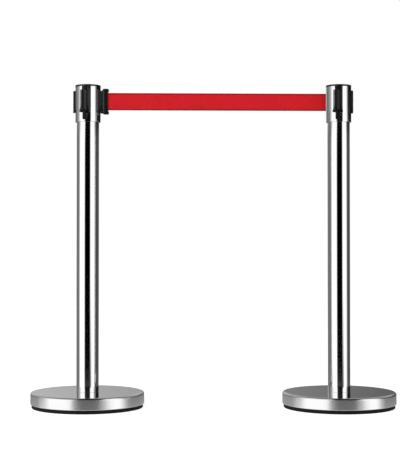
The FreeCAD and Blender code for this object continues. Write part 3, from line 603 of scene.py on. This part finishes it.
def post_tube(name):
    """The plain tube, with its ends just broken."""
    outer, low, high = TUBE_RADIUS / MM, TUBE_BOTTOM / MM, TUBE_TOP / MM
    wall = SHEET / MM
    corners = [(outer - wall, low, 0.2), (outer, low, 0.35), (outer, high, 0.2), (outer - wall, high, 0.2)]
    piece = lathe(name, rounded(corners, 4), 192)
    smooth(piece)
    return piece


# -------- head

# The windows in the sleeve, as (along the wall, up).
WINDOW_HALF = 13.0
WINDOW_BOTTOM = 829.0
TAIL_HALF = 6.5
TAIL_BOTTOM = 809.0
TAIL_CORNER = 3.8
THROAT_HALF = 8.4
MOUTH_HALF = 6.5
MOUTH_BOTTOM = 829.0
MOUTH_TOP = 894.0
MOUTH_CORNER = 1.2
# The mouth's slot: half its width, and its room above and below the belt.
SLIT_HALF = 1.0
SLIT_ROOM = 1.2
# The black parts that fill them.
PLATE_DEPTH = 2.55
GAP = 0.1
BLOCK_ROOT = 33.2
BLOCK_REACH = 41.0
BLOCK_LOW = 833.5
BLOCK_HIGH = 892.6
FLANK_DEPTH = 4.4
FLANK_RUN = 4.7
SLOT_FLOOR = 36.1
SLOT_HALF = 7.4
SLOT_STOP = 836.0
LIP_DEPTH = 2.4
LIP_GAP_HALF = 4.3
RIVET_RADIUS = 2.6
RIVET_HEIGHT = 816.2
RIVET_DEPTH = 1.4
HOOK_PROFILE = ((4.8, 846.5, 0.8), (8.2, 849.5, 1.2), (14.6, 834.0, 1.6), (14.8, 829.8, 1.6),
                (11.6, 829.8, 1.4))
HOOK_ROOT = 34.0
HOOK_REACH = 41.2
HOOK_FACE = 47.5
HOOK_SLOPE = 0.62
WRAP_STEP = 1.1 * MM
# How far the painted-light grey covers the slot's floor, as painted light on that face, and the one flank turned
# to the key light, as a painted highlight.
FLOOR_PAINTED_LIGHT = 0.09
FLANK_PAINTED_LIGHT = 0.45


def window_outline(gap, top):
    """A receiver's window with its throat and tail, in millimetres along the wall and up, less a gap."""
    wide, low, high = WINDOW_HALF - gap, WINDOW_BOTTOM + gap, BLOCK_HIGH + 0.2 - gap
    tail, end = TAIL_HALF - gap, TAIL_BOTTOM + gap
    throat = THROAT_HALF - gap
    return both_sides([(-throat, top, 0.6), (-throat, high, 0.8), (-wide, high, 1.4), (-wide, low, 1.4),
                       (-tail, low, 1.0), (-tail, end, TAIL_CORNER)])


def upright(a, b, level):
    """Places an outline that stands in the X-Z plane; its thickness runs along Y."""
    return (a, level, b)


def facing_out(a, b, level):
    """Places an outline that stands in the Y-Z plane; its thickness runs along X."""
    return (level, a, b)


def head_outline(past):
    """The unrolled head sleeve, open at the top for each receiver and at both ends for the mouth.

    The ends run past the joint, so that they can be trimmed.
    """
    low, high = HEAD_BOTTOM / MM, HEAD_TOP / MM
    half_way = math.pi * HEAD_RADIUS / MM
    end, mouth = half_way + past, half_way - MOUTH_HALF
    side = [(end, low, 0), (end, MOUTH_BOTTOM, 0), (mouth, MOUTH_BOTTOM, MOUTH_CORNER),
            (mouth, MOUTH_TOP, MOUTH_CORNER), (end, MOUTH_TOP, 0), (end, high, 0)]
    window = [(x, y, 0 if y == high else radius) for x, y, radius in reversed(window_outline(0, high))]
    side += [(half_way / 2 + x, y, radius) for x, y, radius in window]
    outline = both_sides(side)
    outline[len(side):len(side)] = window
    return rounded(outline, 8)


def head_shell(name):
    """The polished sleeve round the head, cut out flat and bent round, with its joint in the mouth."""
    piece = slab(name, head_outline(past=4), -SHEET, 0, upright)
    soften(piece, 0.12 * MM, 2)
    half_way = math.pi * HEAD_RADIUS
    slice_along(piece, 0, -half_way, half_way, WRAP_STEP, open_ends=True)
    wrap(piece, HEAD_RADIUS)
    weld(piece)
    smooth(piece)
    return piece


def receiver_plate(name):
    """The curved plate that fills a window, flush with the sleeve, with a sunk rivet in its tail."""
    piece = slab(name, rounded(window_outline(GAP, HEAD_TOP / MM - GAP), 8), -PLATE_DEPTH * MM, 0, upright)
    sink = lathe("tool", rounded([(0, 0, 0), (RIVET_RADIUS - 0.5, 0, 0), (RIVET_RADIUS, 3, 0),
                                  (0, 3, 0)]), 40)
    sink.data.transform(Matrix.Translation((0, -RIVET_DEPTH * MM, RIVET_HEIGHT * MM)) @ LOOKING_BACK)
    cut(piece, sink)
    soften(piece, 0.35 * MM, 3)
    reach = WINDOW_HALF * MM
    slice_along(piece, 0, -reach, reach, WRAP_STEP)
    wrap(piece, HEAD_RADIUS)
    smooth(piece)
    return piece


def receiver_block(name):
    """The block with the T slot that a clip's tongue drops into."""
    half = WINDOW_HALF - GAP
    flank, front = BLOCK_REACH - FLANK_DEPTH, half - FLANK_RUN
    outline = rounded([(BLOCK_ROOT, -half, 0), (flank, -half, 0.6), (BLOCK_REACH, -front, 0.7),
                       (BLOCK_REACH, front, 0.7), (flank, half, 0.6), (BLOCK_ROOT, half, 0)], 4)
    piece = slab(name, outline, BLOCK_LOW * MM, BLOCK_HIGH * MM)
    lip, clear = BLOCK_REACH - LIP_DEPTH, BLOCK_REACH + 4
    tee = [(SLOT_FLOOR, -SLOT_HALF), (lip, -SLOT_HALF), (lip, -LIP_GAP_HALF), (clear, -LIP_GAP_HALF),
           (clear, LIP_GAP_HALF), (lip, LIP_GAP_HALF), (lip, SLOT_HALF), (SLOT_FLOOR, SLOT_HALF)]
    cut(piece, slab("tool", [(x * MM, y * MM) for x, y in tee], SLOT_STOP * MM, (BLOCK_HIGH + 5) * MM))
    soften(piece, 0.55 * MM, 3)
    smooth(piece)
    return piece


def receiver_hook(name, sign):
    """A small barb beside the block that keeps the plate in its window, its face sloping inwards."""
    def slope(place):
        return Vector((min(place.x, (HOOK_FACE - HOOK_SLOPE * place.y / MM) * MM), place.y, place.z))
    piece = slab(name, rounded(HOOK_PROFILE, 4), HOOK_ROOT * MM, HOOK_REACH * MM, facing_out)
    reshape(piece, slope)
    soften(piece, 0.4 * MM, 2)
    if sign < 0:
        reshape(piece, lambda place: Vector((place.x, -place.y, place.z)))
        piece.data.flip_normals()
    smooth(piece)
    return piece


def receiver(name, flank_light):
    """A whole receiver, with how much painted light each of its faces gets."""
    piece = joined(name, [receiver_plate("plate"), receiver_block("block"), receiver_hook("hook", 1),
                          receiver_hook("hook", -1)])
    painted_light = piece.data.attributes.new("painted_light", "FLOAT", "FACE")
    for face in piece.data.polygons:
        painted_light.data[face.index].value = painted_light_of(face, flank_light)
    return piece


def painted_light_of(face, flank_light):
    """How much painted light a face gets: the slot's floor a little, and the flank turned to the light by the
    given share.
    """
    flank_normal = Vector((FLANK_RUN, -FLANK_DEPTH, 0)).normalized()
    if face.normal.dot(flank_normal) > 0.99 and face.center.z > BLOCK_LOW * MM:
        return flank_light
    if face.normal.x > 0.99 and abs(face.center.x - SLOT_FLOOR * MM) < 0.3 * MM:
        return FLOOR_PAINTED_LIGHT
    return 0.0


def belt_mouth(name):
    """The black mouth that the belt comes out of, flush with the sleeve, with its lips rounded."""
    half, low, high = MOUTH_HALF - GAP, MOUTH_BOTTOM + GAP, MOUTH_TOP - GAP
    piece = slab(name, bar(half, low, high, 1.1, 5), -PLATE_DEPTH * MM, 0, upright)
    slit = bar(SLIT_HALF, BELT_BOTTOM / MM - SLIT_ROOM, BELT_TOP / MM + SLIT_ROOM, 0.7, 4)
    cut(piece, slab("tool", slit, -9 * MM, 9 * MM, upright))
    soften(piece, 0.5 * MM, 4)
    slice_along(piece, 0, -half * MM, half * MM, WRAP_STEP)
    wrap(piece, HEAD_RADIUS)
    turn_mesh(piece, math.pi)
    smooth(piece)
    return piece


CAP_RIM = 908.2
# The cap's dome as (radius, fall from the top), and the fine ring round it as (radius, height, corner).
CAP_DOME = ((0, 0), (12, 0.25), (22, 0.9))
CAP_GROOVE = ((26.2, 908.95, 0.4), (26.7, 908.5, 0.2), (27.3, 908.5, 0.2), (27.8, 908.9, 0.4))
SPIGOT_INNER = 26.5
SPIGOT_OUTER = 28.8
SCREW_CIRCLE = 31.75
SCREW_HEAD = 2.7
SCREW_HEAD_LOW = 905.6
SCREW_HEAD_HIGH = 907.3


def cap_screw_places():
    """The four places of the cap's screws, in a post's own frame."""
    for quarter in range(4):
        angle = math.pi / 4 + quarter * math.pi / 2
        yield Vector((math.cos(angle), math.sin(angle), 0)) * SCREW_CIRCLE * MM


def drill(radius, low, high):
    """A cutting tool for a round hole on the Z axis."""
    return lathe("tool", rounded([(0, low, 0), (radius, low, 0), (radius, high, 0), (0, high, 0)]), 40)


def top_cap(name):
    """The black cap: a rim over the sleeve, a shallow dome with a fine ring, and sunk screw holes."""
    outer, top = CAP_RADIUS / MM, CAP_TOP / MM
    under, foot = HEAD_TOP / MM, CAP_SPIGOT_BOTTOM / MM
    crown = [(radius * MM, (top - fall) * MM) for radius, fall in CAP_DOME]
    rest = rounded([*CAP_GROOVE, (outer, CAP_RIM, 0.8), (outer, under, 0.3), (SPIGOT_OUTER, under, 0.2),
                    (SPIGOT_OUTER, foot, 0.5), (SPIGOT_INNER, foot, 0.5), (SPIGOT_INNER, under, 0.5)], 4)
    piece = lathe(name, crown + [tuple(point) for point in rest] + [(0, under * MM)], 192)
    for place in cap_screw_places():
        hole = drill(SCREW_HEAD + 0.25, SCREW_HEAD_LOW, 915)
        hole.data.transform(Matrix.Translation(place))
        cut(piece, hole)
    smooth(piece, 30)
    return piece


RECESS_WIDTH = 0.16
RECESS_LENGTH = 0.62
RECESS_TAPER = 0.6


def screw(name, radius, low, high, depth):
    """A round-headed screw with a cross recess, its head between two heights, on the Z axis."""
    edge = low + (high - low) * 0.55
    piece = lathe(name, rounded([(0, low, 0), (radius, low, 0.1), (radius, edge, 0.3),
                                 (radius * 0.72, high, 0.6), (0, high, 0)], 4), 48)

    def taper(place):
        share = 1.0 if place.z > (high - depth / 2) * MM else RECESS_TAPER
        return Vector((place.x * share, place.y * share, place.z))
    for x, y in ((RECESS_WIDTH, RECESS_LENGTH), (RECESS_LENGTH, RECESS_WIDTH)):
        tool = block("tool", (-radius * x * MM, -radius * y * MM, (high - depth) * MM),
                     (radius * x * MM, radius * y * MM, (high + 1) * MM))
        reshape(tool, taper)
        cut(piece, tool)
    smooth(piece, 30)
    return piece


def cap_screws(name):
    """The cap's four screws, each stopped at its own angle."""
    screws = []
    for i, place in enumerate(cap_screw_places()):
        one = screw(f"screw_{i}", SCREW_HEAD, SCREW_HEAD_LOW + 0.05, SCREW_HEAD_HIGH, 1.0)
        one.data.transform(Matrix.Translation(place) @ Matrix.Rotation(0.7 * i + 0.3, 4, "Z"))
        screws.append(one)
    return joined(name, screws)


# -------- clip

# Along the way out from the post: the clip's near end, where it reaches its full height, where it is
# thickest, where its two shells part, and its far ends.
CLIP_NEAR = 41.8
CLIP_FULL = 46.4
CLIP_SHOULDER = 48.5
CLIP_SPLIT = 46.0
CLIP_FAR = 60.3
EAR_END = 59.7
RECESS = 2.1
# Heights from the belt's middle line.
CLIP_NECK_HALF = 30.2
CLIP_HALF_HEIGHT = 36.0
EAR_LOW = 27.6
# Half thicknesses.
CLIP_NECK_DEPTH = 5.6
CLIP_DEPTH = 7.5
CLIP_FAR_DEPTH = 5.4
CLIP_SLOT_HALF = 0.7
CLIP_SLOT_START = 49.0
SHELL_GAP = 0.12
TONGUE_NEAR = 36.45
TONGUE_FAR = 38.25
TONGUE_HALF = 7.1
TONGUE_TIP_HALF = 4.6
TONGUE_LOW = 836.3
TONGUE_HIGH = 887.0
NECK_NEAR = 37.4
NECK_FAR = 43.4
NECK_HALF = 4.0
COVER_SCREW_OUT = 54.0
COVER_SCREW_LIFT = 31.0
COVER_SCREW_HEAD = 2.2
COVER_SCREW_SUNK = 1.7
# Far enough for a cutting box to go right through a clip, in metres.
BEYOND = 0.2


def clip_half_depth(x):
    """Half the clip's thickness at x: a thin neck, a rounded swell and a long taper to the belt."""
    if x < CLIP_SHOULDER:
        share = min(1, max(0, (x - CLIP_NEAR - 1.6) / (CLIP_SHOULDER - CLIP_NEAR - 2.2)))
        return CLIP_NECK_DEPTH + (CLIP_DEPTH - CLIP_NECK_DEPTH) * math.sin(share * math.pi / 2)
    share = min(1, (x - CLIP_SHOULDER) / (CLIP_FAR - CLIP_SHOULDER))
    return CLIP_DEPTH + (CLIP_FAR_DEPTH - CLIP_DEPTH) * share ** 1.6


def clip_form(name):
    """The clip's whole outer form, with ears either side of the recess that the belt enters."""
    centre = BELT_CENTRE / MM
    half = [(CLIP_NEAR, CLIP_NECK_HALF, 1.5), (CLIP_FULL, CLIP_HALF_HEIGHT, 3.6),
            (EAR_END, CLIP_HALF_HEIGHT, 1.6), (EAR_END, EAR_LOW, 0.8),
            (EAR_END - RECESS, EAR_LOW - 2.2, 0.8)]
    above = [(x, centre + z, r) for x, z, r in half]
    below = [(x, centre - z, r) for x, z, r in reversed(half)]
    piece = slab(name, rounded(above + below, 7), -MM, MM, upright)
    slice_along(piece, 0, CLIP_NEAR * MM, CLIP_FAR * MM, 0.9 * MM)
    reshape(piece, lambda place: Vector((place.x, place.y * clip_half_depth(place.x / MM), place.z)))
    soften(piece, 1.15 * MM, 5, angle=50)
    return piece


def clip_slot():
    """The tool that opens the clip for the belt."""
    half = BELT_WIDTH / 2 + 0.8 * MM
    return block("tool", (CLIP_SLOT_START * MM, -CLIP_SLOT_HALF * MM, BELT_CENTRE - half),
                 ((CLIP_FAR + 9) * MM, CLIP_SLOT_HALF * MM, BELT_CENTRE + half))


def clip_tongue():
    """The T-shaped tongue on its neck, chamfered at its foot so that it drops in easily."""
    low, high = TONGUE_LOW, TONGUE_HIGH
    head = both_sides([(-TONGUE_HALF, high, 1.5), (-TONGUE_HALF, low + 3, 1.0), (-TONGUE_TIP_HALF, low, 1.0)])
    plate = slab("tongue", rounded(head, 5), TONGUE_NEAR * MM, TONGUE_FAR * MM, facing_out)
    soften(plate, 0.3 * MM, 3)
    neck = slab("neck", bar(NECK_HALF, low, high, 1.2, 5), NECK_NEAR * MM, NECK_FAR * MM, facing_out)
    soften(neck, 0.3 * MM, 2)
    for piece in (plate, neck):
        smooth(piece)
    return [plate, neck]


def cover_space(gap):
    """The space of the rear shell, less a gap in millimetres."""
    return block("tool", ((CLIP_SPLIT + gap) * MM, gap * MM, BELT_CENTRE - BEYOND),
                 (BEYOND, BEYOND, BELT_CENTRE + BEYOND))


def clip_body(name):
    """The front shell with the tongue; the cover's corner is cut away from it."""
    form = clip_form(name)
    cut(form, cover_space(0), clip_slot())
    soften(form, 0.22 * MM, 2, angle=55)
    smooth(form, 50)
    return joined(name, [form] + clip_tongue())


def clip_cover(name):
    """The rear shell, a hair smaller than its place, with two counterbored screw holes."""
    form = clip_form(name)
    cut(form, cover_space(SHELL_GAP), operation="INTERSECT")
    cut(form, clip_slot())
    for sign in (-1, 1):
        hole = drill(COVER_SCREW_HEAD + 0.2, 0, 9)
        hole.data.transform(screw_frame(sign, COVER_SCREW_SUNK))
        cut(form, hole)
    soften(form, 0.22 * MM, 2, angle=55)
    smooth(form, 50)
    return form


def screw_frame(sign, sunk):
    """A matrix whose Z looks out of the cover at one of its screws, starting below the cover's face."""
    depth = clip_half_depth(COVER_SCREW_OUT) - sunk
    place = Vector((COVER_SCREW_OUT * MM, depth * MM, BELT_CENTRE + sign * COVER_SCREW_LIFT * MM))
    return Matrix.Translation(place) @ LOOKING_BACK


def clip_screws(name):
    """The two screws that close the clip, each stopped at its own angle."""
    screws = []
    for sign in (-1, 1):
        one = screw("screw", COVER_SCREW_HEAD, 0, 1.4, 0.8)
        turn = Matrix.Rotation(0.5 + sign * 0.4, 4, "Z")
        one.data.transform(screw_frame(sign, COVER_SCREW_SUNK - 0.02) @ turn)
        screws.append(one)
    return joined(name, screws)


# -------- belt

BELT_THICK = 0.5 * MM
BELT_ROWS = 26
# The bound edges are thicker than the cloth and this wide.
SELVEDGE_THICK = 0.86 * MM
SELVEDGE = 1.7 * MM
BEND = 10 * MM
RING_STEP = 2.0 * MM
# The length of the belt's last piece, at the clip, in metres.
LIFT_REACH = 0.10
# The ends of the belts, in the frames of the clips and of the posts, in millimetres.
TAPE_END = 53.3
MOUTH_INSIDE = 30.0
# How far a belt runs straight outside a mouth or a clip, before it bends.
STRAIGHT_OUT = 2


def belt_section():
    """The belt's section as (depth, height) points round it: thin cloth between two bound edges."""
    half = BELT_WIDTH / 2
    heights = [-half + 2 * half * k / BELT_ROWS for k in range(1, BELT_ROWS)]
    for step in (0.45 * MM, 0.12 * MM):
        heights += [-half + step, half - step]
    front = [(section_depth(height), height) for height in sorted(heights)]
    back = [(-depth, height) for depth, height in reversed(front)]
    return front + [(0.0, half)] + back + [(0.0, -half)]


def section_depth(height):
    """Half the belt's thickness at a height from its middle line."""
    inward = BELT_WIDTH / 2 - abs(height)
    bead = SELVEDGE_THICK / 2 * math.sqrt(max(0, 1 - (1 - min(1, inward / (SELVEDGE / 2))) ** 2))
    share = min(1, max(0, (inward - SELVEDGE / 2) / (SELVEDGE / 2)))
    return bead + (BELT_THICK / 2 - SELVEDGE_THICK / 2) * share * share * (3 - 2 * share)


def walk(points, step):
    """Even stations along a path of plan points: (place, distance)."""
    lengths = [0.0]
    for one, two in zip(points, points[1:]):
        lengths.append(lengths[-1] + (two - one).length)
    count = max(2, round(lengths[-1] / step))
    stations = []
    leg = 0
    for k in range(count + 1):
        distance = lengths[-1] * k / count
        while leg < len(points) - 2 and distance > lengths[leg + 1]:
            leg += 1
        share = (distance - lengths[leg]) / (lengths[leg + 1] - lengths[leg])
        stations.append((points[leg].lerp(points[leg + 1], share), distance))
    return stations


def belt(name, points, begin=0.0):
    """Webbing along plan points in metres; begin is how far along the belt it starts."""
    section = belt_section()
    stations = walk(points, RING_STEP)
    places = [place for place, _ in stations]

    def fill(work):
        layer = work.loops.layers.uv.new("weave")
        rings = []
        for i, place in enumerate(places):
            ahead = (places[min(i + 1, len(places) - 1)] - places[max(i - 1, 0)]).normalized()
            side = Vector((-ahead.y, ahead.x))
            rings.append([work.verts.new((place.x + side.x * depth, place.y + side.y * depth,
                                          BELT_CENTRE + height)) for depth, height in section])
        for ring in (rings[0], rings[-1]):
            work.faces.new(ring)
        count = len(section)
        for i in range(len(rings) - 1):
            for k in range(count):
                n = (k + 1) % count
                face = work.faces.new((rings[i][k], rings[i][n], rings[i + 1][n], rings[i + 1][k]))
                marks = ((i, k), (i, n), (i + 1, n), (i + 1, k))
                for loop, (row, column) in zip(face.loops, marks):
                    loop[layer].uv = (begin + stations[row][1], section[column][1])
    piece = new_piece(name, fill)
    piece.data.shade_smooth()
    piece.data.set_sharp_from_angle(angle=math.radians(60))
    dress(piece, "red_belt")
    return piece, stations[-1][1]


def plan(matrix, x, y=0.0):
    """A point of a piece's own frame, in millimetres, on plan in the row's frame."""
    place = matrix @ Vector((x * MM, y * MM, 0))
    return Vector((place.x, place.y))


def bent_route(corners, radius, steps=14):
    """A route through plan points with each inner corner turned into an arc."""
    points = [corners[0]]
    for before, here, after in zip(corners, corners[1:], corners[2:]):
        if (before - here).angle(here - after) < 2e-4:
            points.append(here)
        else:
            points += corner_arc(before, here, after, radius, steps)
    points.append(corners[-1])
    return points


def run_between_posts():
    """The belt from inside the right head to inside the clip on the left post."""
    start = plan(POST_FRAMES["right"], -MOUTH_INSIDE)
    leave = plan(POST_FRAMES["right"], -HEAD_RADIUS / MM - STRAIGHT_OUT)
    enter = plan(CLIP_FRAMES["right"], CLIP_FAR + STRAIGHT_OUT)
    end = plan(CLIP_FRAMES["right"], TAPE_END)
    return bent_route([start, leave, enter, end], BEND)


def split_route(route, reach):
    """Two routes that meet a given distance before the end of the whole one."""
    total = sum((b - a).length for a, b in zip(route, route[1:]))
    gone = 0.0
    for i, (a, b) in enumerate(zip(route, route[1:])):
        step = (b - a).length
        if gone + step >= total - reach:
            meet = a.lerp(b, (total - reach - gone) / step)
            return route[:i + 1] + [meet], [meet] + route[i + 1:]
        gone += step
    raise RuntimeError("the route is shorter than the reach")


def lay_belts():
    """The belt between the posts, in two lengths, and the short one of the left post's parked clip."""
    route = run_between_posts()
    far, near = split_route(route, LIFT_REACH)
    long_piece, long_length = belt("right_belt_run", far)
    short_piece, short_length = belt("right_belt_at_clip", near, long_length)
    almost_met = far[-1].lerp(far[-2], 0.02)
    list(far[0])
    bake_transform(long_piece)
    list(near[0])
    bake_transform(short_piece)
    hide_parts("right_belt_tape")
    parked = [plan(POST_FRAMES["left"], -MOUTH_INSIDE), plan(CLIP_FRAMES["left"], TAPE_END)]
    left_piece, left_length = belt("left_belt_run", parked)
    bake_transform(left_piece)
    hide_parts("left_belt_tape")
    lengths = ((long_piece, long_length, ["right_outlet_bezel"]),
               (short_piece, short_length, ["right_clip_body"]),
               (left_piece, left_length, ["left_outlet_bezel", "left_clip_body"]))
    for piece, length, held_by in lengths:
        piece.visible_glossy = False
        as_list(held_by)


# -------- the pair

# Each post's receiver in front, whose flank turned to the light gets a painted highlight, and how far each
# receiver is turned round the head.
IN_FRONT = {"right": "receiver_side_b", "left": "receiver_rear"}
RECEIVERS = {"receiver_rear": 0.0, "receiver_side_a": math.pi / 2, "receiver_side_b": -math.pi / 2}

# Each piece: what makes it, its name, the CAD node it replaces, its slot and, if it is another, its finish.
ON_POST = (
    (rubber_foot, "rubber_foot", "floor_ring", "rubber_ring"),
    (base_dish, "base_dish", "base_cover", "polished_steel", "dish_steel"),
    (post_tube, "post_tube", "tube", "polished_steel"),
    (head_shell, "head_shell", "head_sleeve", "polished_steel"),
    (belt_mouth, "belt_mouth", "outlet_bezel", "black_plastic"),
    (top_cap, "cap", "top_cap", "black_gloss"),
    (cap_screws, "cap_screw_heads", "cap_screws", "black_screws"),
)
ON_CLIP = (
    (clip_body, "clip_front", "clip_body", "black_gloss"),
    (clip_cover, "clip_back", "clip_cover", "black_gloss"),
    (clip_screws, "clip_screw_heads", "clip_screws", "black_screws"),
)


def settle_all(pieces, side, place, body):
    """Make the pieces of one body and set them in their place."""
    for make, name, node, slot, *finish in pieces:
        settle(make(f"{side}_{name}"), place, body, [f"{side}_{node}"], slot, *finish)


for side in SIDES:
    post = f"{side}_post"
    settle_all(ON_POST, side, POST_FRAMES[side], post)
    for word, angle in RECEIVERS.items():
        # The receiver in front gets the painted highlight on its flank; the others get only the painted light on
        # their slot floors.
        moulding = receiver(f"{side}_{word}_moulding", FLANK_PAINTED_LIGHT if word == IN_FRONT[side] else 0.0)
        settle(turn_mesh(moulding, angle), POST_FRAMES[side], post, [f"{side}_{word}"], "black_plastic")
    settle_all(ON_CLIP, side, CLIP_FRAMES[side], f"{side}_clip")

lay_belts()

for row in frame["record"]["subparts"]:
    node = frame["nodes"].get(row["node"])
    if node and not node.hide_render:
        for holder in node.material_slots:
            holder.material = MATERIALS[row["material_slot"]]


# -------- studio

CAMERA_X = -0.0376
CAMERA_DISTANCE = 3.36
CAMERA_HEIGHT = 0.447
AIM_HEIGHT = 0.5034
LENS = 93.58

# The level of the white banks, a little over white so that the polished steel shows them white.
WHITE = 1.2


def high_bands(dark):
    """The bands that the steel of the heads shows, with the dark behind the camera at a level."""
    return ((-180, 0.3), (-168, 0.6), (-125, 0.12), (-102, 0.3), (-86, 0.42), (-75, 0.75), (-66, WHITE),
            (-27, WHITE), (-20, dark), (28, dark), (36, WHITE), (66, WHITE), (79, 0.35), (93, 0.003),
            (165, 0.003), (180, 0.3))


# The bands that the tubes show.
LEVEL_BANDS = ((-180, 0.25), (-150, 0.2), (-105, 0.16), (-92, 0.35), (-80, WHITE), (-31, WHITE), (-23, 0.0),
               (27, 0.0), (35, WHITE), (75, WHITE), (84, 0.35), (94, 0.075), (128, 0.075), (180, 0.25))
# The room's walls: (sine of the height looked at, bands of (degrees right of behind the camera, level)).
WALLS = (
    (-0.9, ((-180, 0.7), (180, 0.7))),
    (-0.3, ((-180, 0.42), (-125, 0.3), (-104, 0.9), (-30, 0.9), (-16, 0.1), (24, 0.1), (38, 0.9), (86, 0.9),
            (104, 0.3), (140, 0.3), (160, 0.8), (180, 0.42))),
    (-0.134, ((-180, 0.55), (-114, 0.55), (-99, WHITE), (-28, WHITE), (-8, 0.42), (44, 0.42), (60, WHITE),
              (82, WHITE), (98, 0.55), (180, 0.55))),
    (-0.126, ((-180, 0.25), (-150, 0.2), (-97, 0.16), (-88, 0.4), (-76, WHITE), (-30, WHITE), (-22, 0.0),
              (38, 0.0), (48, WHITE), (74, WHITE), (84, 0.35), (94, 0.075), (128, 0.075), (180, 0.25))),
    (-0.03, LEVEL_BANDS),
    (0.096, LEVEL_BANDS),
    (0.106, high_bands(0.0)),
    (0.15, high_bands(0.02)),
    (0.2, ((-180, 0.6), (-125, 0.3), (-66, WHITE), (-24, WHITE), (-12, 0.3), (34, 0.3), (46, WHITE),
           (66, WHITE), (90, 0.1), (150, 0.1), (180, 0.6))),
    (0.32, ((-180, 0.6), (-125, 0.3), (-66, 0.9), (-24, 0.9), (-8, 0.3), (30, 0.3), (46, 0.9), (66, 0.9),
            (90, 0.2), (150, 0.2), (180, 0.6))),
    (0.42, ((-180, 0.6), (-125, 0.3), (-66, WHITE), (-24, WHITE), (-16, 0.0), (38, 0.0), (46, WHITE),
            (66, WHITE), (90, 0.2), (180, 0.6))),
    (0.8, ((-180, 0.22), (-40, 0.22), (-28, 0.0), (44, 0.0), (56, 0.22), (180, 0.22))),
)


def studio_world():
    """A soft studio: white banks either side of the camera, dark behind it, grey elsewhere."""
    world = bpy.data.worlds.new("studio")
    world.use_nodes = True
    bpy.context.scene.world = world
    world.node_tree.nodes.clear()
    node = functools.partial(add_node, world.node_tree)

    def calc(operation, *inputs):
        """The result of a sum on sockets and numbers."""
        return node("ShaderNodeMath", enumerate(inputs), operation=operation).outputs[0]

    looked_at = node("ShaderNodeTexCoord").outputs["Generated"]
    x, y, z = node("ShaderNodeSeparateXYZ", {"Vector": looked_at}).outputs
    azimuth = calc("ARCTAN2", x, calc("MULTIPLY", y, -1.0))
    share = calc("MULTIPLY_ADD", azimuth, 0.5 / math.pi, 0.5)
    room = None
    below = None
    for height, bands in WALLS:
        ramp = node("ShaderNodeValToRGB", {"Fac": share})
        set_bands(ramp.color_ramp, bands)
        wall = ramp.outputs[0]
        if room is None:
            room = wall
        else:
            rise = node("ShaderNodeMapRange", {"Value": z, "From Min": below, "From Max": height})
            mix = {0: rise.outputs[0], 6: room, 7: wall}
            room = node("ShaderNodeMix", mix, data_type="RGBA").outputs[2]
        below = height
    lit = node("ShaderNodeBackground", {"Color": room, "Strength": 1.0}).outputs[0]
    paper = node("ShaderNodeBackground", {"Color": grey(1.0), "Strength": 1.0}).outputs[0]
    seen = node("ShaderNodeLightPath").outputs["Is Camera Ray"]
    both = node("ShaderNodeMixShader", {0: seen, 1: lit, 2: paper}).outputs[0]
    node("ShaderNodeOutputWorld", {"Surface": both})


def set_bands(ramp, bands):
    """The wall's brightness round the room."""
    while len(ramp.elements) > 1:
        ramp.elements.remove(ramp.elements[-1])
    first, *others = [(0.5 + angle / 360, level) for angle, level in bands]
    ramp.elements[0].position = first[0]
    ramp.elements[0].color = grey(first[1])
    for position, level in others:
        ramp.elements.new(position).color = grey(level)


def area_light(name, place, aim, width, height, power):
    """A rectangular lamp that looks at a point and is not seen in the chrome."""
    light = bpy.data.lights.new(name, "AREA")
    light.shape = "RECTANGLE"
    light.size = width
    light.size_y = height
    light.energy = power
    lamp = bpy.data.objects.new(name, light)
    lamp.location = place
    lamp.rotation_euler = (Vector(aim) - Vector(place)).to_track_quat("-Z", "Y").to_euler()
    lamp.visible_glossy = False
    bpy.context.scene.collection.objects.link(lamp)


def pale_floor():
    """A plain pale floor: one wide flat sheet, which glows a little so that it has no far edge."""
    def fill(work):
        bmesh.ops.create_grid(work, x_segments=40, y_segments=40, size=6.0)
    floor = new_piece("floor", fill)
    finish = Finish("floor_paper", Base_Color=grey(0.92), Roughness=0.9, Specular_IOR_Level=0.1)
    finish.shader.inputs["Emission Color"].default_value = grey(1.0)
    finish.shader.inputs["Emission Strength"].default_value = 0.75
    finish.colour(finish.mixed(finish.noise(3.0), grey(0.90), grey(0.94)))
    floor.data.materials.append(finish.material)
    floor.location.z = -0.0002
    floor.visible_glossy = False


def camera():
    """The camera, a long way off with a long lens, nearly level."""
    lens = bpy.data.cameras.new("camera")
    lens.lens = LENS
    eye = bpy.data.objects.new("camera", lens)
    bpy.context.scene.collection.objects.link(eye)
    eye.location = (CAMERA_X, -CAMERA_DISTANCE, CAMERA_HEIGHT)
    aim = Vector((CAMERA_X, 0, AIM_HEIGHT))
    eye.rotation_euler = (aim - eye.location).to_track_quat("-Z", "Y").to_euler()
    bpy.context.scene.camera = eye


studio_world()
area_light("key_left", place=(-2.6, -2.2, 1.7), aim=(-0.2, 0, 0.6), width=1.2, height=1.4, power=42)
area_light("key_right", place=(1.8, -2.4, 2.0), aim=(0.3, 0, 0.6), width=1.2, height=1.6, power=10)
pale_floor()
camera()
bpy.context.scene.view_settings.view_transform = "Standard"
